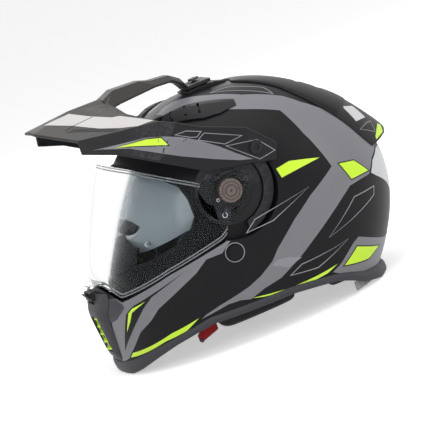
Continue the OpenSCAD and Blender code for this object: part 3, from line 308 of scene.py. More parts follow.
def bake(piece):
    """Applies the modifiers of a piece."""
    bpy.context.view_layer.update()
    baked = bpy.data.meshes.new_from_object(piece.evaluated_get(bpy.context.evaluated_depsgraph_get()))
    piece.modifiers.clear()
    old = piece.data
    piece.data = baked
    bpy.data.meshes.remove(old)


def mirror(piece):
    """Turns the mesh of a piece over to the other side of the helmet."""
    piece.data.transform(Matrix.Scale(-1, 4, (1, 0, 0)))
    piece.data.flip_normals()


def read_vectors(items, key):
    values = np.empty(len(items) * 3, np.float32)
    items.foreach_get(key, values)
    return values.reshape(-1, 3).astype(float)


def boolean(piece, cutter, operation="DIFFERENCE"):
    """Applies a boolean to piece and removes the cutter."""
    tool = piece.modifiers.new("cut", "BOOLEAN")
    tool.operation, tool.object, tool.solver = operation, cutter, "MANIFOLD"
    bake(piece)
    spent = cutter.data
    bpy.data.objects.remove(cutter)
    bpy.data.meshes.remove(spent)
    if len(piece.data.vertices) == 0:
        raise RuntimeError(f"{piece.name} came out empty")
    return piece


def solid(points_faces, name="cutter"):
    return make_piece(name, points_faces[0], points_faces[1], None)


def mirrored(points_faces):
    pts, faces = points_faces
    return np.asarray(pts) * [-1, 1, 1], [tuple(f)[::-1] for f in faces]


def both_sides(points_faces):
    pts, faces = points_faces
    other, turned = mirrored(points_faces)
    n = len(pts)
    return np.concatenate([pts, other]), list(faces) + [tuple(n + i for i in f) for f in turned]


def finish_shading(piece, normal_of=None, sharp=35, hold=0.95):
    """Smooth shading, with exact normals where the faces lie along a known surface."""
    mesh = piece.data
    mesh.shade_smooth()
    mesh.set_sharp_from_angle(angle=math.radians(sharp))
    if normal_of is None:
        return
    corner = read_vectors(mesh.corner_normals, "vector")
    index = np.empty(len(mesh.loops), np.int32)
    mesh.loops.foreach_get("vertex_index", index)
    exact = normal_of(read_vectors(mesh.vertices, "co") / MM)[index]
    total = np.empty(len(mesh.polygons), np.int32)
    mesh.polygons.foreach_get("loop_total", total)
    flat = np.repeat(read_vectors(mesh.polygons, "normal"), total, axis=0)
    along = np.sum(flat * exact, 1)
    use = np.abs(along) > hold
    corner[use] = exact[use] * np.sign(along[use])[:, None]
    mesh.normals_split_custom_set(corner.tolist())


# Materials.
def hex_colour(text):
    """Linear colour of a plain hex colour."""
    c = [int(text[i:i + 2], 16) / 255 for i in (0, 2, 4)]
    return tuple(x / 12.92 if x <= 0.04045 else ((x + 0.055) / 1.055) ** 2.4 for x in c) + (1.0,)


def shade(text, factor):
    return tuple(min(1.0, factor * c) for c in hex_colour(text)[:3]) + (1.0,)


class Net:
    """Short hand for laying out the nodes of one tree."""

    def __init__(self, tree):
        self.tree = tree
        self.column = 0

    def add(self, kind, values=None, **settings):
        node = self.tree.nodes.new(kind)
        self.column += 1
        node.location = (self.column * 180 % 1800, -(self.column // 10) * 260)
        for key, value in settings.items():
            setattr(node, key, value)
        return self.fill(node, values or {})

    def fill(self, node, values):
        """Links each value that is a socket and sets each that is a constant."""
        for key, value in values.items():
            if isinstance(value, bpy.types.NodeSocket):
                self.tree.links.new(value, node.inputs[key])
            else:
                node.inputs[key].default_value = value
        return node

    def place(self):
        return self.add("ShaderNodeTexCoord").outputs["Object"]

    def math(self, operation, a, b=0.0, clamp=False):
        return self.add("ShaderNodeMath", {0: a, 1: b}, operation=operation, use_clamp=clamp).outputs[0]

    def mix(self, factor, a, b):
        return self.fill(self.add("ShaderNodeMix", data_type="RGBA"), {0: factor, 6: a, 7: b}).outputs[2]

    def bump(self, height, strength, distance):
        values = {"Height": height, "Strength": strength, "Distance": distance}
        return self.add("ShaderNodeBump", values).outputs[0]

    def ramp(self, value, stops):
        node = self.add("ShaderNodeValToRGB", {0: value})
        ramp = node.color_ramp
        for k, (place, level) in enumerate(stops):
            stop = ramp.elements[k] if k < 2 else ramp.elements.new(place)
            stop.position = place
            stop.color = (level, level, level, 1)
        return node.outputs[0]


def effect(name, inputs, outputs, build):
    """A shader node group with named sockets."""
    tree = bpy.data.node_groups.new(name, "ShaderNodeTree")
    kinds = {"c": "NodeSocketColor", "f": "NodeSocketFloat", "v": "NodeSocketVector"}
    for label, kind, value in inputs:
        socket = tree.interface.new_socket(label, in_out="INPUT", socket_type=kinds[kind])
        if value is not None:
            socket.default_value = value
    for label, kind in outputs:
        tree.interface.new_socket(label, in_out="OUTPUT", socket_type=kinds[kind])
    net = Net(tree)
    source = tree.nodes.new("NodeGroupInput")
    sink = tree.nodes.new("NodeGroupOutput")
    sink.location = (2200, 0)
    for label, socket in build(net, source.outputs).items():
        tree.links.new(socket, sink.inputs[label])
    return tree


def build_edge_wear(net, given):
    """Mask that is 1 on outward edges, broken up by noise."""
    geometry_node = net.add("ShaderNodeNewGeometry")
    noise = net.add("ShaderNodeTexNoise", {"Scale": given["Break up"], "Detail": 4.0,
                                           "Vector": net.place()})
    pointed = net.math("SUBTRACT", geometry_node.outputs["Pointiness"], given["Level"])
    pointed = net.math("MULTIPLY", pointed, given["Sharpness"], clamp=True)
    mask = net.math("MULTIPLY", pointed, net.ramp(noise.outputs[0], [(0.35, 0.15), (0.65, 1.0)]))
    return {"Mask": mask}


def build_speckle(net, given):
    """Fine pigment grain and broad tone change for painted and moulded faces."""
    place = net.place()
    fine = net.add("ShaderNodeTexNoise", {"Vector": place, "Scale": given["Fine scale"], "Detail": 3.0})
    broad = net.add("ShaderNodeTexNoise", {"Vector": place, "Scale": 14.0, "Detail": 5.0, "Roughness": 0.6})
    tone = net.math("ADD", *[
        net.math("MULTIPLY", net.math("SUBTRACT", noise.outputs[0], 0.5), given[amount])
        for noise, amount in ((fine, "Fine amount"), (broad, "Broad amount"))])
    level = net.math("ADD", tone, 1.0)
    scaled = net.add("ShaderNodeVectorMath", {0: given["Colour"]}, operation="SCALE")
    net.tree.links.new(level, scaled.inputs["Scale"])
    rough = net.math("ADD", given["Roughness"], net.math("MULTIPLY", tone, 0.35))
    return {"Colour": scaled.outputs[0], "Roughness": rough, "Height": fine.outputs[0]}


def build_scratches(net, given):
    """Hairline scratches in two directions."""
    place = net.place()
    masks = []
    for turn, stretch in ((0.5, 60.0), (-1.1, 45.0)):
        turned = net.add("ShaderNodeMapping", {"Vector": place, "Rotation": (turn, turn * 0.6, 0.3),
                                               "Scale": (stretch * 14, stretch * 14, stretch * 0.5)})
        lines = net.add("ShaderNodeTexNoise", {"Vector": turned.outputs[0], "Scale": 1.0, "Detail": 1.0})
        masks.append(net.ramp(lines.outputs[0], [(0.70, 0.0), (0.74, 1.0)]))
    return {"Mask": net.math("MULTIPLY", net.math("MAXIMUM", masks[0], masks[1]), given["Amount"])}


def build_weave(net, given):
    """Over-and-under weave as a height and a tone, in the piece's own space."""
    place = net.place()
    heights = []
    for axis in ((1, 0, 0), (0, 1, 0), (0, 0, 1)):
        turned = net.add("ShaderNodeVectorMath", {0: place, 1: axis}, operation="DOT_PRODUCT")
        wave = net.math("SINE", net.math("MULTIPLY", turned.outputs["Value"], given["Threads"]))
        heights.append(wave)
    checks = net.math("MULTIPLY", heights[0], heights[1])
    checks = net.math("ADD", checks, net.math("MULTIPLY", heights[1], heights[2]))
    checks = net.math("ADD", checks, net.math("MULTIPLY", heights[0], heights[2]))
    height = net.math("ADD", net.math("MULTIPLY", checks, 0.25), 0.5, clamp=True)
    fuzz = net.add("ShaderNodeTexNoise", {"Vector": place, "Scale": 900.0, "Detail": 2.0})
    mixed = net.math("ADD", net.math("MULTIPLY", height, 0.8), net.math("MULTIPLY", fuzz.outputs[0], 0.2))
    return {"Height": mixed}


def build_beads(net, given):
    """Fused foam beads: cells with dark joints."""
    place = net.place()
    cells = net.add("ShaderNodeTexVoronoi", {"Vector": place, "Scale": given["Scale"]},
                    feature="DISTANCE_TO_EDGE")
    tone = net.add("ShaderNodeTexVoronoi", {"Vector": place, "Scale": given["Scale"]})
    joint = net.ramp(cells.outputs["Distance"], [(0.0, 0.0), (0.12, 1.0)])
    return {"Joint": joint, "Tone": tone.outputs["Color"]}


EDGE_WEAR = effect("edge wear", [("Level", "f", 0.53), ("Sharpness", "f", 14.0), ("Break up", "f", 260.0)],
                   [("Mask", "f")], build_edge_wear)
SPECKLE = effect("painted speckle",
                 [("Colour", "c", None), ("Roughness", "f", 0.5), ("Fine scale", "f", 2200.0),
                  ("Fine amount", "f", 0.2), ("Broad amount", "f", 0.12)],
                 [("Colour", "c"), ("Roughness", "f"), ("Height", "f")], build_speckle)
SCRATCHES = effect("hairline scratches", [("Amount", "f", 0.5)], [("Mask", "f")], build_scratches)
WEAVE = effect("fabric weave", [("Threads", "f", 5200.0)], [("Height", "f")], build_weave)
BEADS = effect("foam beads", [("Scale", "f", 260.0)], [("Joint", "f"), ("Tone", "c")], build_beads)


def blank_material(name):
    material = bpy.data.materials.new(name)
    material.use_nodes = True
    tree = material.node_tree
    tree.nodes.clear()
    net = Net(tree)
    shader = net.add("ShaderNodeBsdfPrincipled")
    shader.location = (2000, 0)
    sink = net.add("ShaderNodeOutputMaterial")
    sink.location = (2300, 0)
    tree.links.new(shader.outputs[0], sink.inputs[0])
    return material, net, shader


def group_node(net, tree, **values):
    node = net.add("ShaderNodeGroup")
    node.node_tree = tree
    return net.fill(node, {key.replace("_", " "): value for key, value in values.items()})


def moulded(name, colour, roughness=0.5, worn="55555a", wear=0.5, grain=0.1, coat=0.0, metallic=0.0,
            fine_scale=2200.0, specular=0.5):
    """Painted or moulded surface: speckle, hairlines and brightened edges."""
    material, net, shader = blank_material(name)
    base = group_node(net, SPECKLE, Colour=hex_colour(colour), Roughness=roughness, Fine_scale=fine_scale,
                      Fine_amount=grain * 1.6, Broad_amount=0.10)
    edge = group_node(net, EDGE_WEAR)
    lines = group_node(net, SCRATCHES, Amount=0.22)
    mask = net.math("MULTIPLY", edge.outputs["Mask"], wear, clamp=True)
    tinted = net.mix(mask, base.outputs["Colour"], hex_colour(worn))
    tinted = net.mix(net.math("MULTIPLY", lines.outputs["Mask"], 0.25), tinted, hex_colour(worn))
    rough = net.math("ADD", base.outputs["Roughness"], net.math("MULTIPLY", lines.outputs["Mask"], 0.10))
    bump = net.bump(base.outputs["Height"], grain, 0.00012)
    net.fill(shader, {"Base Color": tinted, "Roughness": rough, "Normal": bump, "Metallic": metallic,
                      "Coat Weight": coat, "Coat Roughness": 0.25, "Specular IOR Level": specular})
    return material


def clear_plastic(name, tint, roughness=0.0):
    """Clear moulded plastic that is see-through in thin walls."""
    material, net, shader = blank_material(name)
    dust = net.add("ShaderNodeTexNoise", {"Vector": net.place(),
                                          "Scale": 60.0, "Detail": 6.0})
    lines = group_node(net, SCRATCHES, Amount=0.3)
    rough = net.math("ADD", net.math("MULTIPLY", dust.outputs[0], 0.01), roughness)
    rough = net.math("ADD", rough, net.math("MULTIPLY", lines.outputs["Mask"], 0.02))
    net.fill(shader, {"Roughness": rough, "Base Color": hex_colour(tint), "Transmission Weight": 1.0,
                      "IOR": 1.12})
    return material


def tinted_lens(name, tint, cover=0.6, roughness=0.12):
    """Pale lens whose cover says how much of what lies behind it stays hidden."""
    material, net, shader = blank_material(name)
    haze = net.add("ShaderNodeTexNoise", {"Vector": net.place(),
                                          "Scale": 9.0, "Detail": 3.0})
    lines = group_node(net, SCRATCHES, Amount=0.2)
    rough = net.math("ADD", net.math("MULTIPLY", haze.outputs[0], 0.06), roughness)
    rough = net.math("ADD", rough, net.math("MULTIPLY", lines.outputs["Mask"], 0.05))
    alpha = net.math("ADD", net.math("MULTIPLY", haze.outputs[0], 0.1), cover - 0.05)
    net.fill(shader, {"Roughness": rough, "Alpha": alpha, "Base Color": hex_colour(tint), "Coat Weight": 0.6})
    return material


def fabric(name, colour, threads=5200.0, lift=0.35, sheen=0.25):
    material, net, shader = blank_material(name)
    cloth = group_node(net, WEAVE, Threads=threads)
    tone = group_node(net, SPECKLE, Colour=hex_colour(colour), Roughness=0.85, Fine_scale=700.0,
                      Fine_amount=0.5, Broad_amount=0.25)
    dark = shade(colour, 0.45)
    mixed = net.mix(net.ramp(cloth.outputs["Height"], [(0.3, 0.0), (0.7, 1.0)]), dark, tone.outputs["Colour"])
    bump = net.bump(cloth.outputs["Height"], lift, 0.0004)
    net.fill(shader, {"Base Color": mixed, "Normal": bump, "Roughness": 0.9, "Sheen Weight": sheen,
                      "Sheen Roughness": 0.5})
    return material


def foam(name, colour):
    material, net, shader = blank_material(name)
    bead = group_node(net, BEADS)
    tone = net.mix(0.12, hex_colour(colour), bead.outputs["Tone"])
    dark = shade(colour, 0.35)
    joined = net.mix(bead.outputs["Joint"], dark, tone)
    bump = net.bump(bead.outputs["Joint"], 0.5, 0.0004)
    net.fill(shader, {"Base Color": joined, "Normal": bump, "Roughness": 0.9})
    return material


def brushed(name, colour, roughness=0.35, metallic=1.0):
    material, net, shader = blank_material(name)
    place = net.place()
    stretched = net.add("ShaderNodeMapping", {"Vector": place, "Scale": (40, 900, 900)})
    grain = net.add("ShaderNodeTexNoise", {"Vector": stretched.outputs[0], "Scale": 4.0, "Detail": 4.0})
    edge = group_node(net, EDGE_WEAR)
    rough = net.math("ADD", net.math("MULTIPLY", grain.outputs[0], 0.2), roughness - 0.1)
    bright = shade(colour, 1.5)
    tinted = net.mix(net.math("MULTIPLY", edge.outputs["Mask"], 0.6), hex_colour(colour), bright)
    bump = net.bump(grain.outputs[0], 0.12, 0.0001)
    net.fill(shader, {"Base Color": tinted, "Roughness": rough, "Normal": bump, "Metallic": metallic})
    return material


FINISH = {
    "shell": moulded("matte black lacquer", "131316", 0.42, "303036", 0.25, 0.05, specular=0.16),
    "swoosh": moulded("matte grey lacquer", "7e7e84", 0.40, "a5a5aa", 0.2, 0.05, specular=0.35),
    # Pale grey for the painted highlight inside the grey swoosh.
    "swoosh_highlight": moulded("pale grey painted highlight", "8f8f95", 0.40, "a5a5aa", 0.2, 0.05, specular=0.35),
    "white": moulded("silver white lacquer", "d4d5d8", 0.38, "f0f0f0", 0.2, 0.05, specular=0.35),
    "line": moulded("fine grey lacquer line", "9a9aa0", 0.45, "b0b0b5", 0.2, 0.05),
    "neon": moulded("fluorescent yellow lacquer", "d5ff2f", 0.45, "e9ff90", 0.2, 0.05),
    "panel": moulded("dark grey moulding", "3c3c41", 0.55, "6a6a70", 0.45, 0.25, specular=0.3),
    "black": moulded("black moulding", "17171a", 0.5, "4a4a4e", 0.4, 0.2, specular=0.25),
    "deep": moulded("satin black moulding", "101012", 0.6, "3a3a3d", 0.4, 0.3, specular=0.25),
    "rubber": moulded("black rubber", "121214", 0.72, "2c2c2f", 0.2, 0.35, specular=0.25),
    "peak": moulded("warm grey moulding", "302d2b", 0.5, "6a6663", 0.4, 0.3, specular=0.25),
    "knob": brushed("bronze grey knob", "665c58", 0.45, 0.6),
    "steel": brushed("plated steel", "a9abad", 0.3),
    "dark_steel": brushed("blackened steel", "3c3c40", 0.4),
    "red": moulded("red moulding", "b51f24", 0.5, "d05055", 0.4, 0.2),
    "shield": clear_plastic("clear shield plastic", "e9edef"),
    # Pale grey band on the shield: its raised lower bead, and a painted edge highlight along its outline.
    "shield_bead_and_highlight": tinted_lens("shield bead and painted edge highlight", "8e9498", 0.55, 0.2),
    "spoiler": moulded("black spoiler lacquer", "131316", 0.44, "303036", 0.3, 0.08, specular=0.16),
    "pale_deck": moulded("pale silver moulding", "cfccca", 0.42, "e8e6e4", 0.3, 0.08, specular=0.35),
    "crown_liner": fabric("grey crown mesh", "2f2f33", 3200.0, 0.5),
    "thread": fabric("grey stitching thread", "6a6a70", 9000.0, 0.4),
    "lens": tinted_lens("sun lens plastic", "aab4ba"),
    "foam": foam("grey bead foam", "3a3a3d"),
    "liner": fabric("black liner fabric", "242427"),
    "webbing": fabric("black webbing", "1d1d20", 3600.0, 0.6),
    "red_fabric": fabric("red tab fabric", "c41c22"),
    "silver_fabric": fabric("reflective silver fabric", "c9cacc", 4200.0, 0.25, 0.6),
}

FINISHED_NODES = {
    "shell": "outer_shell rear_spoiler rivet_caps",
    "panel": "rim_trim brow_vent_slider chin_vent_panel",
    "rubber": "eyeport_gasket breath_guard",
    "deep": "spoiler_grille scoop_slider_left scoop_slider_right chin_vent_slider shield_hub_left"
            " shield_hub_right lever_track peak_bushes peak_mount",
    "black": "scoop_left scoop_right brow_vent side_pod_left side_pod_right pivot_base_left"
             " pivot_base_right sun_visor_lever peak_screws buckle_tongue",
    "knob": "shield_knob_left shield_knob_right",
    "steel": "shield_pins strap_rivets buckle_body",
    "dark_steel": "pivot_screws sun_visor_pins peak_top_screw",
    "foam": "crown_eps cheek_eps_left cheek_eps_right chin_eps",
    "liner": "crown_pad cheek_pad_left cheek_pad_right neck_roll chin_curtain",
    "webbing": "strap_left strap_right",
    "neon": "chin_vent_fins",
    "shield": "face_shield",
    "lens": "sun_visor",
    "peak": "peak",
    "red": "buckle_lever",
    "red_fabric": "release_tabs",
    "silver_fabric": "neck_tab",
}
NODE_FINISH = {node: finish for finish, nodes in FINISHED_NODES.items() for node in nodes.split()}


def dress_nodes():
    for name, node in NODES.items():
        node.data.materials.clear()
        node.data.materials.append(FINISH[NODE_FINISH[name]])


# Shield form.
def shield_radius(f, d):
    raked = (SHIELD_FACE - d) / np.maximum(0.02, np.cos(np.radians(f - SHIELD_RAKE)))
    upright = (SHIELD_FRONT - d) / np.maximum(0.1, np.cos(np.radians(f)))
    joined = (raked ** -30 + upright ** -30) ** (-1 / 30) + 2 * np.sin(
        np.clip((f + 22) / 55, 0, 1) * np.pi)
    return np.minimum(260, np.where(f < -45, upright, joined))


def shield_surface(f, c, d):
    """Points of the shield at angles f above the forward level and c across, inset by d."""
    f, c = np.broadcast_arrays(np.asarray(f, float), np.asarray(c, float))
    power = 2.6 + 2.4 * np.clip((f + 23) / 56, 0, 1)
    s, k = np.sin(np.radians(c)), np.cos(np.radians(c))
    r = shield_radius(f, d) * np.maximum(s, 0) ** (2 / power)
    return np.stack([(SHIELD_W - d) * np.sign(k) * np.abs(k) ** (2 / 2.2),
                     PIVOT_Y - r * np.cos(np.radians(f)), PIVOT_Z + r * np.sin(np.radians(f))], -1)


def ahead_of_pivot(points):
    p = np.asarray(points, float)
    return np.column_stack([PIVOT_Y - p[:, 0], PIVOT_Z + p[:, 1]])


def shield_outline(margin=0.0):
    arc = np.radians(np.linspace(64, 203, 40))
    rows = [(EAR_R * math.cos(a), EAR_R * math.sin(a)) for a in arc]
    rows += [(-18.5, -8), (2.3, -26), (14.6, -39.7), (23.8, -45), (50.6, -50.6), (84, -58), (131, -73),
             (139.5, -58.4), (165, -58.4), (165, 90), (79, 51), (27, 18.9)]
    return grown(ahead_of_pivot(rows), margin)


def shield_core(d, rings=110, steps=90):
    out = []
    for c in np.linspace(178, 2, rings):
        ring = shield_surface(np.linspace(58, -78, steps), c, d)
        out.append(np.concatenate([[[ring[0][0], PIVOT_Y, PIVOT_Z]], ring]))
    return ring_solid(np.array(out))


def shield_pocket(margin, depth):
    pocket = solid(prism(shield_outline(margin), -FAR, FAR))
    wedge = ahead_of_pivot([(0, 0), (200, -400), (400, -300), (400, 400), (150, 240)])
    boolean(pocket, solid(prism(wedge, -FAR, FAR)), "INTERSECT")
    return boolean(pocket, solid(shield_core(SHIELD_T + depth)))


PORT_CORNERS = [(250, 225), (117, 222), (96, 206), (78, 190), (64, 176), (61.5, 160), (63, 141),
                (71, 130), (89, 119), (122, 109), (157, 108), (250, 108)]


def port_outline(margin=0.0):
    rows = np.array([(MID_Y - a, b) for a, b in PORT_CORNERS], float)
    return filleted(grown(rows, margin), 5 + margin)


def shell_form(d, drop, cols=200, rows=72):
    """Closed shell form inset by d, from the rim less a drop up to the crown."""
    t = np.arange(cols) * 2 * np.pi / cols
    low = rim_level(t) - drop
    rise = np.sin(np.linspace(0, np.pi / 2, rows))[:, None]
    grid = skin(t[None, :], low + (SHELL_H - low) * rise * 0.99999, d)
    pts, faces = ring_solid(grid)
    if not drop:
        pts[rows * cols, 2] += (RIM_SIDE - RIM_NAPE) / 2
    return pts, faces


def recess_tool(grow):
    return solid(both_sides(prism(circle(PIVOT_Y, PIVOT_Z, RECESS_R + grow, 144), RECESS_X - grow, FAR)))


def build_shell():
    shell = solid(shell_form(0, 0), "shell_moulding")
    boolean(shell, shield_pocket(POCKET_GAP, SHIELD_GAP))
    boolean(shell, recess_tool(0))
    hollow = solid(shell_form(SHELL_T, HOLLOW_DROP))
    boolean(hollow, shield_pocket(POCKET_GAP + SHELL_T, SHIELD_GAP + SHELL_T))
    boolean(hollow, recess_tool(SHELL_T))
    boolean(shell, hollow)
    boolean(shell, solid(prism(port_outline(), -FAR, FAR)))
    shell.data.materials.clear()
    shell.data.materials.append(FINISH["shell"])
    finish_shading(shell, skin_normal, 30, 0.985)
    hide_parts("outer_shell")
    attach(shell, "helmet")
    return shell


# Smooth mouldings.
def catmull(points, per):
    """A smooth run through the points, per steps to each span."""
    p = np.asarray(points, float)
    ends = np.concatenate([[2 * p[0] - p[1]], p, [2 * p[-1] - p[-2]]])
    out = []
    for a, b, c, d in zip(ends, ends[1:], ends[2:], ends[3:]):
        for s in np.arange(per) / per:
            out.append(0.5 * (2 * b + (c - a) * s + (2 * a - 5 * b + 4 * c - d) * s ** 2
                              + (3 * b - a - 3 * c + d) * s ** 3))
    return np.array(out + [p[-1]])


def rounded_sections(sections, r=1.2, steps=5):
    """Sections, an array n x corners x 3, with each corner rounded off."""
    before, after = np.roll(sections, 1, 1), np.roll(sections, -1, 1)
    out = []
    for k in range(sections.shape[1]):
        p, a, b = sections[:, k], before[:, k] - sections[:, k], after[:, k] - sections[:, k]
        la, lb = np.linalg.norm(a, axis=1, keepdims=True), np.linalg.norm(b, axis=1, keepdims=True)
        start, end = p + a * np.minimum(r / la, 0.45), p + b * np.minimum(r / lb, 0.45)
        for s in np.linspace(0, 1, steps):
            out.append(start * (1 - s) ** 2 + 2 * p * s * (1 - s) + end * s ** 2)
    return np.stack(out, 1)


def weighted(piece, sharp=35):
    """Flat faces stay flat to the eye and only their rounded edges turn the light."""
    piece.data.shade_smooth()
    piece.data.set_sharp_from_angle(angle=math.radians(sharp))
    tool = piece.modifiers.new("weigh", "WEIGHTED_NORMAL")
    tool.keep_sharp = True
    return piece


def placed(piece, finish, body, node=None):
    """Gives a piece its finish and body, and hides the node it stands for."""
    piece.data.materials.clear()
    piece.data.materials.append(FINISH[finish])
    if node:
        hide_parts(node)
    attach(piece, body)
    return piece


def mirrored_copy(piece, name):
    other = bpy.data.objects.new(name, piece.data.copy())
    mirror(other)
    bpy.context.scene.collection.objects.link(other)
    return other


def cylinder_x(y, z, r, x0, x1, n=64):
    return solid(prism(circle(y, z, r, n), x0, x1))


def cuboid(low, high):
    x0, y0, z0 = low
    x1, y1, z1 = high
    return prism([(y0, z0), (y1, z0), (y1, z1), (y0, z1)], x0, x1)


def turned_block(size, turn, place):
    """A block centred on place, turned by the angles turn in degrees about X, then Y, then Z."""
    half = np.array(size) / 2
    pts, faces = cuboid(-half, half)
    spin = (Matrix.Rotation(math.radians(turn[2]), 3, "Z") @ Matrix.Rotation(math.radians(turn[1]), 3, "Y")
            @ Matrix.Rotation(math.radians(turn[0]), 3, "X"))
    return pts @ np.array(spin).T + np.asarray(place), faces


# Shield and sun visor.
EAR_PLATE_R, SHIELD_IN, SHIELD_OUT = 32.3, 121.0, 124.2
SUN_R, SUN_Y, SUN_Z, SUN_HALF_W, SUN_T, SUN_X, SUN_PIN_R = 131.0, MID_Y + 8.0, 100.0, 110.0, 2.0, 104.0, 4.0
SUN_CORNERS = [(0, 9), (-9, 0), (0, -9), (31, 2.6), (62, 25), (82, 28), (128, 17), (129, 30), (116, 42),
               (150, 120), (62, 98), (40, 50)]


def shield_sheet(out, thick, rows=90, cols=180):
    f = np.linspace(-66, 47, rows)[:, None]
    c = np.linspace(3.8, 176.2, cols)[None, :]
    return solid(slab(shield_surface(f, c, -out), shield_surface(f, c, thick)), "shield_moulding")


def build_shield():
    shield = shield_sheet(0, SHIELD_T)
    ears = both_sides(prism(circle(PIVOT_Y, PIVOT_Z, EAR_PLATE_R), SHIELD_IN, SHIELD_OUT))
    boolean(shield, solid(ears), "UNION")
    boolean(shield, solid(prism(filleted(shield_outline(), 2.5), -FAR, FAR)), "INTERSECT")
    lip = shield_surface(-22.4, 90, 0)
    tab = [(lip[1] - 10.1, lip[2] - 0.4), (lip[1] + 2.9, lip[2] - 0.7), (lip[1] + 2.9, lip[2] + 1.5),
           (lip[1] - 10.1, lip[2] + 1.2)]
    boolean(shield, solid(prism(filleted(tab, 0.8), -18, 18)), "UNION")
    boolean(shield, cylinder_x(PIVOT_Y, PIVOT_Z, HUB_R, -FAR, FAR, 96))
    placed(weighted(shield, 40), "shield", "face_shield", "face_shield")
    # The band just inside the outline is a painted edge highlight, the light line that the clear plastic's
    # edge catches; the lower bead is the shield's raised border.
    for name, near, far, lift in (("shield_lower_bead", -3.2, -4.6, 0.35),
                                  ("shield_outline_highlight", -0.6, -1.8, 0.2)):
        bead = shield_sheet(lift, -0.05, 60, 140)
        bead.name = name
        ring = solid(prism(filleted(shield_outline(near), 2.5), -FAR, FAR))
        boolean(ring, solid(prism(filleted(shield_outline(far), 2.5), -FAR - 1, FAR + 1)))
        boolean(bead, ring, "INTERSECT")
        placed(weighted(bead, 50), "shield_bead_and_highlight", "face_shield")


def sun_surface(f, x, d):
    f, x = np.broadcast_arrays(np.radians(np.asarray(f, float)), np.asarray(x, float))
    r = SUN_R * ease(np.abs(x) / SUN_HALF_W, 3, 2) - d
    return np.stack([x, SUN_Y - r * np.cos(f), SUN_Z + r * np.sin(f)], -1)


def build_sun_visor():
    outline = filleted([(SUN_Y - a, SUN_Z + b) for a, b in SUN_CORNERS], 2.0)
    f = np.linspace(5, 52, 60)[:, None]
    x = SUN_X * np.cos(np.linspace(0, np.pi, 150))[None, :]
    lens = solid(slab(sun_surface(f, x, 0), sun_surface(f, x, SUN_T)), "sun_moulding")
    arm = solid(both_sides(prism(circle(SUN_Y, SUN_Z, 66, 72), SUN_X - 1.5, SUN_X + 0.8)))
    boolean(lens, arm, "UNION")
    boolean(lens, solid(prism(outline, -FAR, FAR)), "INTERSECT")
    low, high = SUN_Z - 8, SUN_Z + 26
    notch = [(-6, high), (6, high), (30, low), (-30, low)]
    pts, faces = prism(filleted(notch, 4), 0, FAR)
    boolean(lens, solid((pts[:, [1, 0, 2]] * [1, -1, 1], [f[::-1] for f in np.array(faces, dtype=object)])))
    boolean(lens, cylinder_x(SUN_Y, SUN_Z, SUN_PIN_R + 0.25, -FAR, FAR))
    placed(weighted(lens, 40), "lens", "sun_visor", "sun_visor")


def build_knobs():
    """Quick-release knobs: a grooved face round a raised centre with a coin slot."""
    face = SHIELD_W + 0.5 + KNOB_H
    rings = [(face - KNOB_H, KNOB_R), (face - 1.4, KNOB_R), (face - 0.4, KNOB_R - 0.5), (face, KNOB_R - 1.2),
             (face, 9.8), (face - 0.7, 9.5), (face - 0.7, 9.0), (face, 8.7), (face, 6.4), (face - 0.9, 6.1),
             (face - 0.9, 5.6), (face + 0.1, 5.3), (face + 0.25, 3.0), (face + 0.3, 0.4)]
    knob = solid(ring_solid(np.array([ring_at(x, PIVOT_Y, PIVOT_Z, r, 72) for x, r in rings])),
                 "knob_moulding")
    for k in range(12):
        a = math.radians(30 * k + 15)
        boolean(knob, cylinder_x(PIVOT_Y + KNOB_R * math.cos(a), PIVOT_Z + KNOB_R * math.sin(a), 1.1,
                                 face - KNOB_H * 0.65, FAR, 24))
    for turn in (0, 180):
        block = cuboid((face - 0.9, PIVOT_Y - 12.4, PIVOT_Z - 0.55), (FAR, PIVOT_Y - 6.2, PIVOT_Z + 0.55))
        pts = block[0].copy()
        if turn:
            pts[:, 1] = 2 * PIVOT_Y - pts[:, 1]
            block = (pts, [f[::-1] for f in block[1]])
        boolean(knob, solid(block))
    boolean(knob, cylinder_x(PIVOT_Y, PIVOT_Z, 1.3, face - 1.2, FAR, 32))
    placed(weighted(knob, 35), "knob", "knob_left", "shield_knob_left")
    placed(mirrored_copy(knob, "knob_moulding_right"), "knob", "knob_right", "shield_knob_right")


def build_ear_marks():
    """A round button and two plain printed rings on each ear of the shield."""
    x = SHIELD_OUT
    button = [(x - 0.3, 3.6), (x + 0.6, 3.6), (x + 1.1, 3.1), (x + 0.9, 1.6), (x + 0.5, 0.3)]
    rings = np.array([ring_at(px, PIVOT_Y + 2.5, PIVOT_Z - 23, r, 40) for px, r in button])
    placed(make_piece("ear_buttons", *both_sides(ring_solid(rings)), None, 35), "deep", "face_shield")
    for name, y, z, r, start, end in (("closed_ring", -14.9, -5, 1.5, 0, 340),
                                      ("open_ring", -13.5, -22, 2.5, 120, 420)):
        a = np.radians(np.linspace(start, end, 40))
        loops = []
        for radius, px in ((r + 0.35, x - 0.05), (r + 0.35, x + 0.12),
                           (r - 0.35, x + 0.12), (r - 0.35, x - 0.05)):
            loops.append(np.column_stack([np.full(40, px), PIVOT_Y + y + radius * np.cos(a),
                                          PIVOT_Z + z + radius * np.sin(a)]))
        mark = make_piece(name, *both_sides(ring_solid(np.array(loops).transpose(1, 0, 2))), None, 30)
        placed(mark, "white", "face_shield")


# Edge trims.
def trim_point(t, by, z):
    p = skin(t, rim_level(t) - 0.1, -np.asarray(by, float))
    p[..., 2] = z
    return p


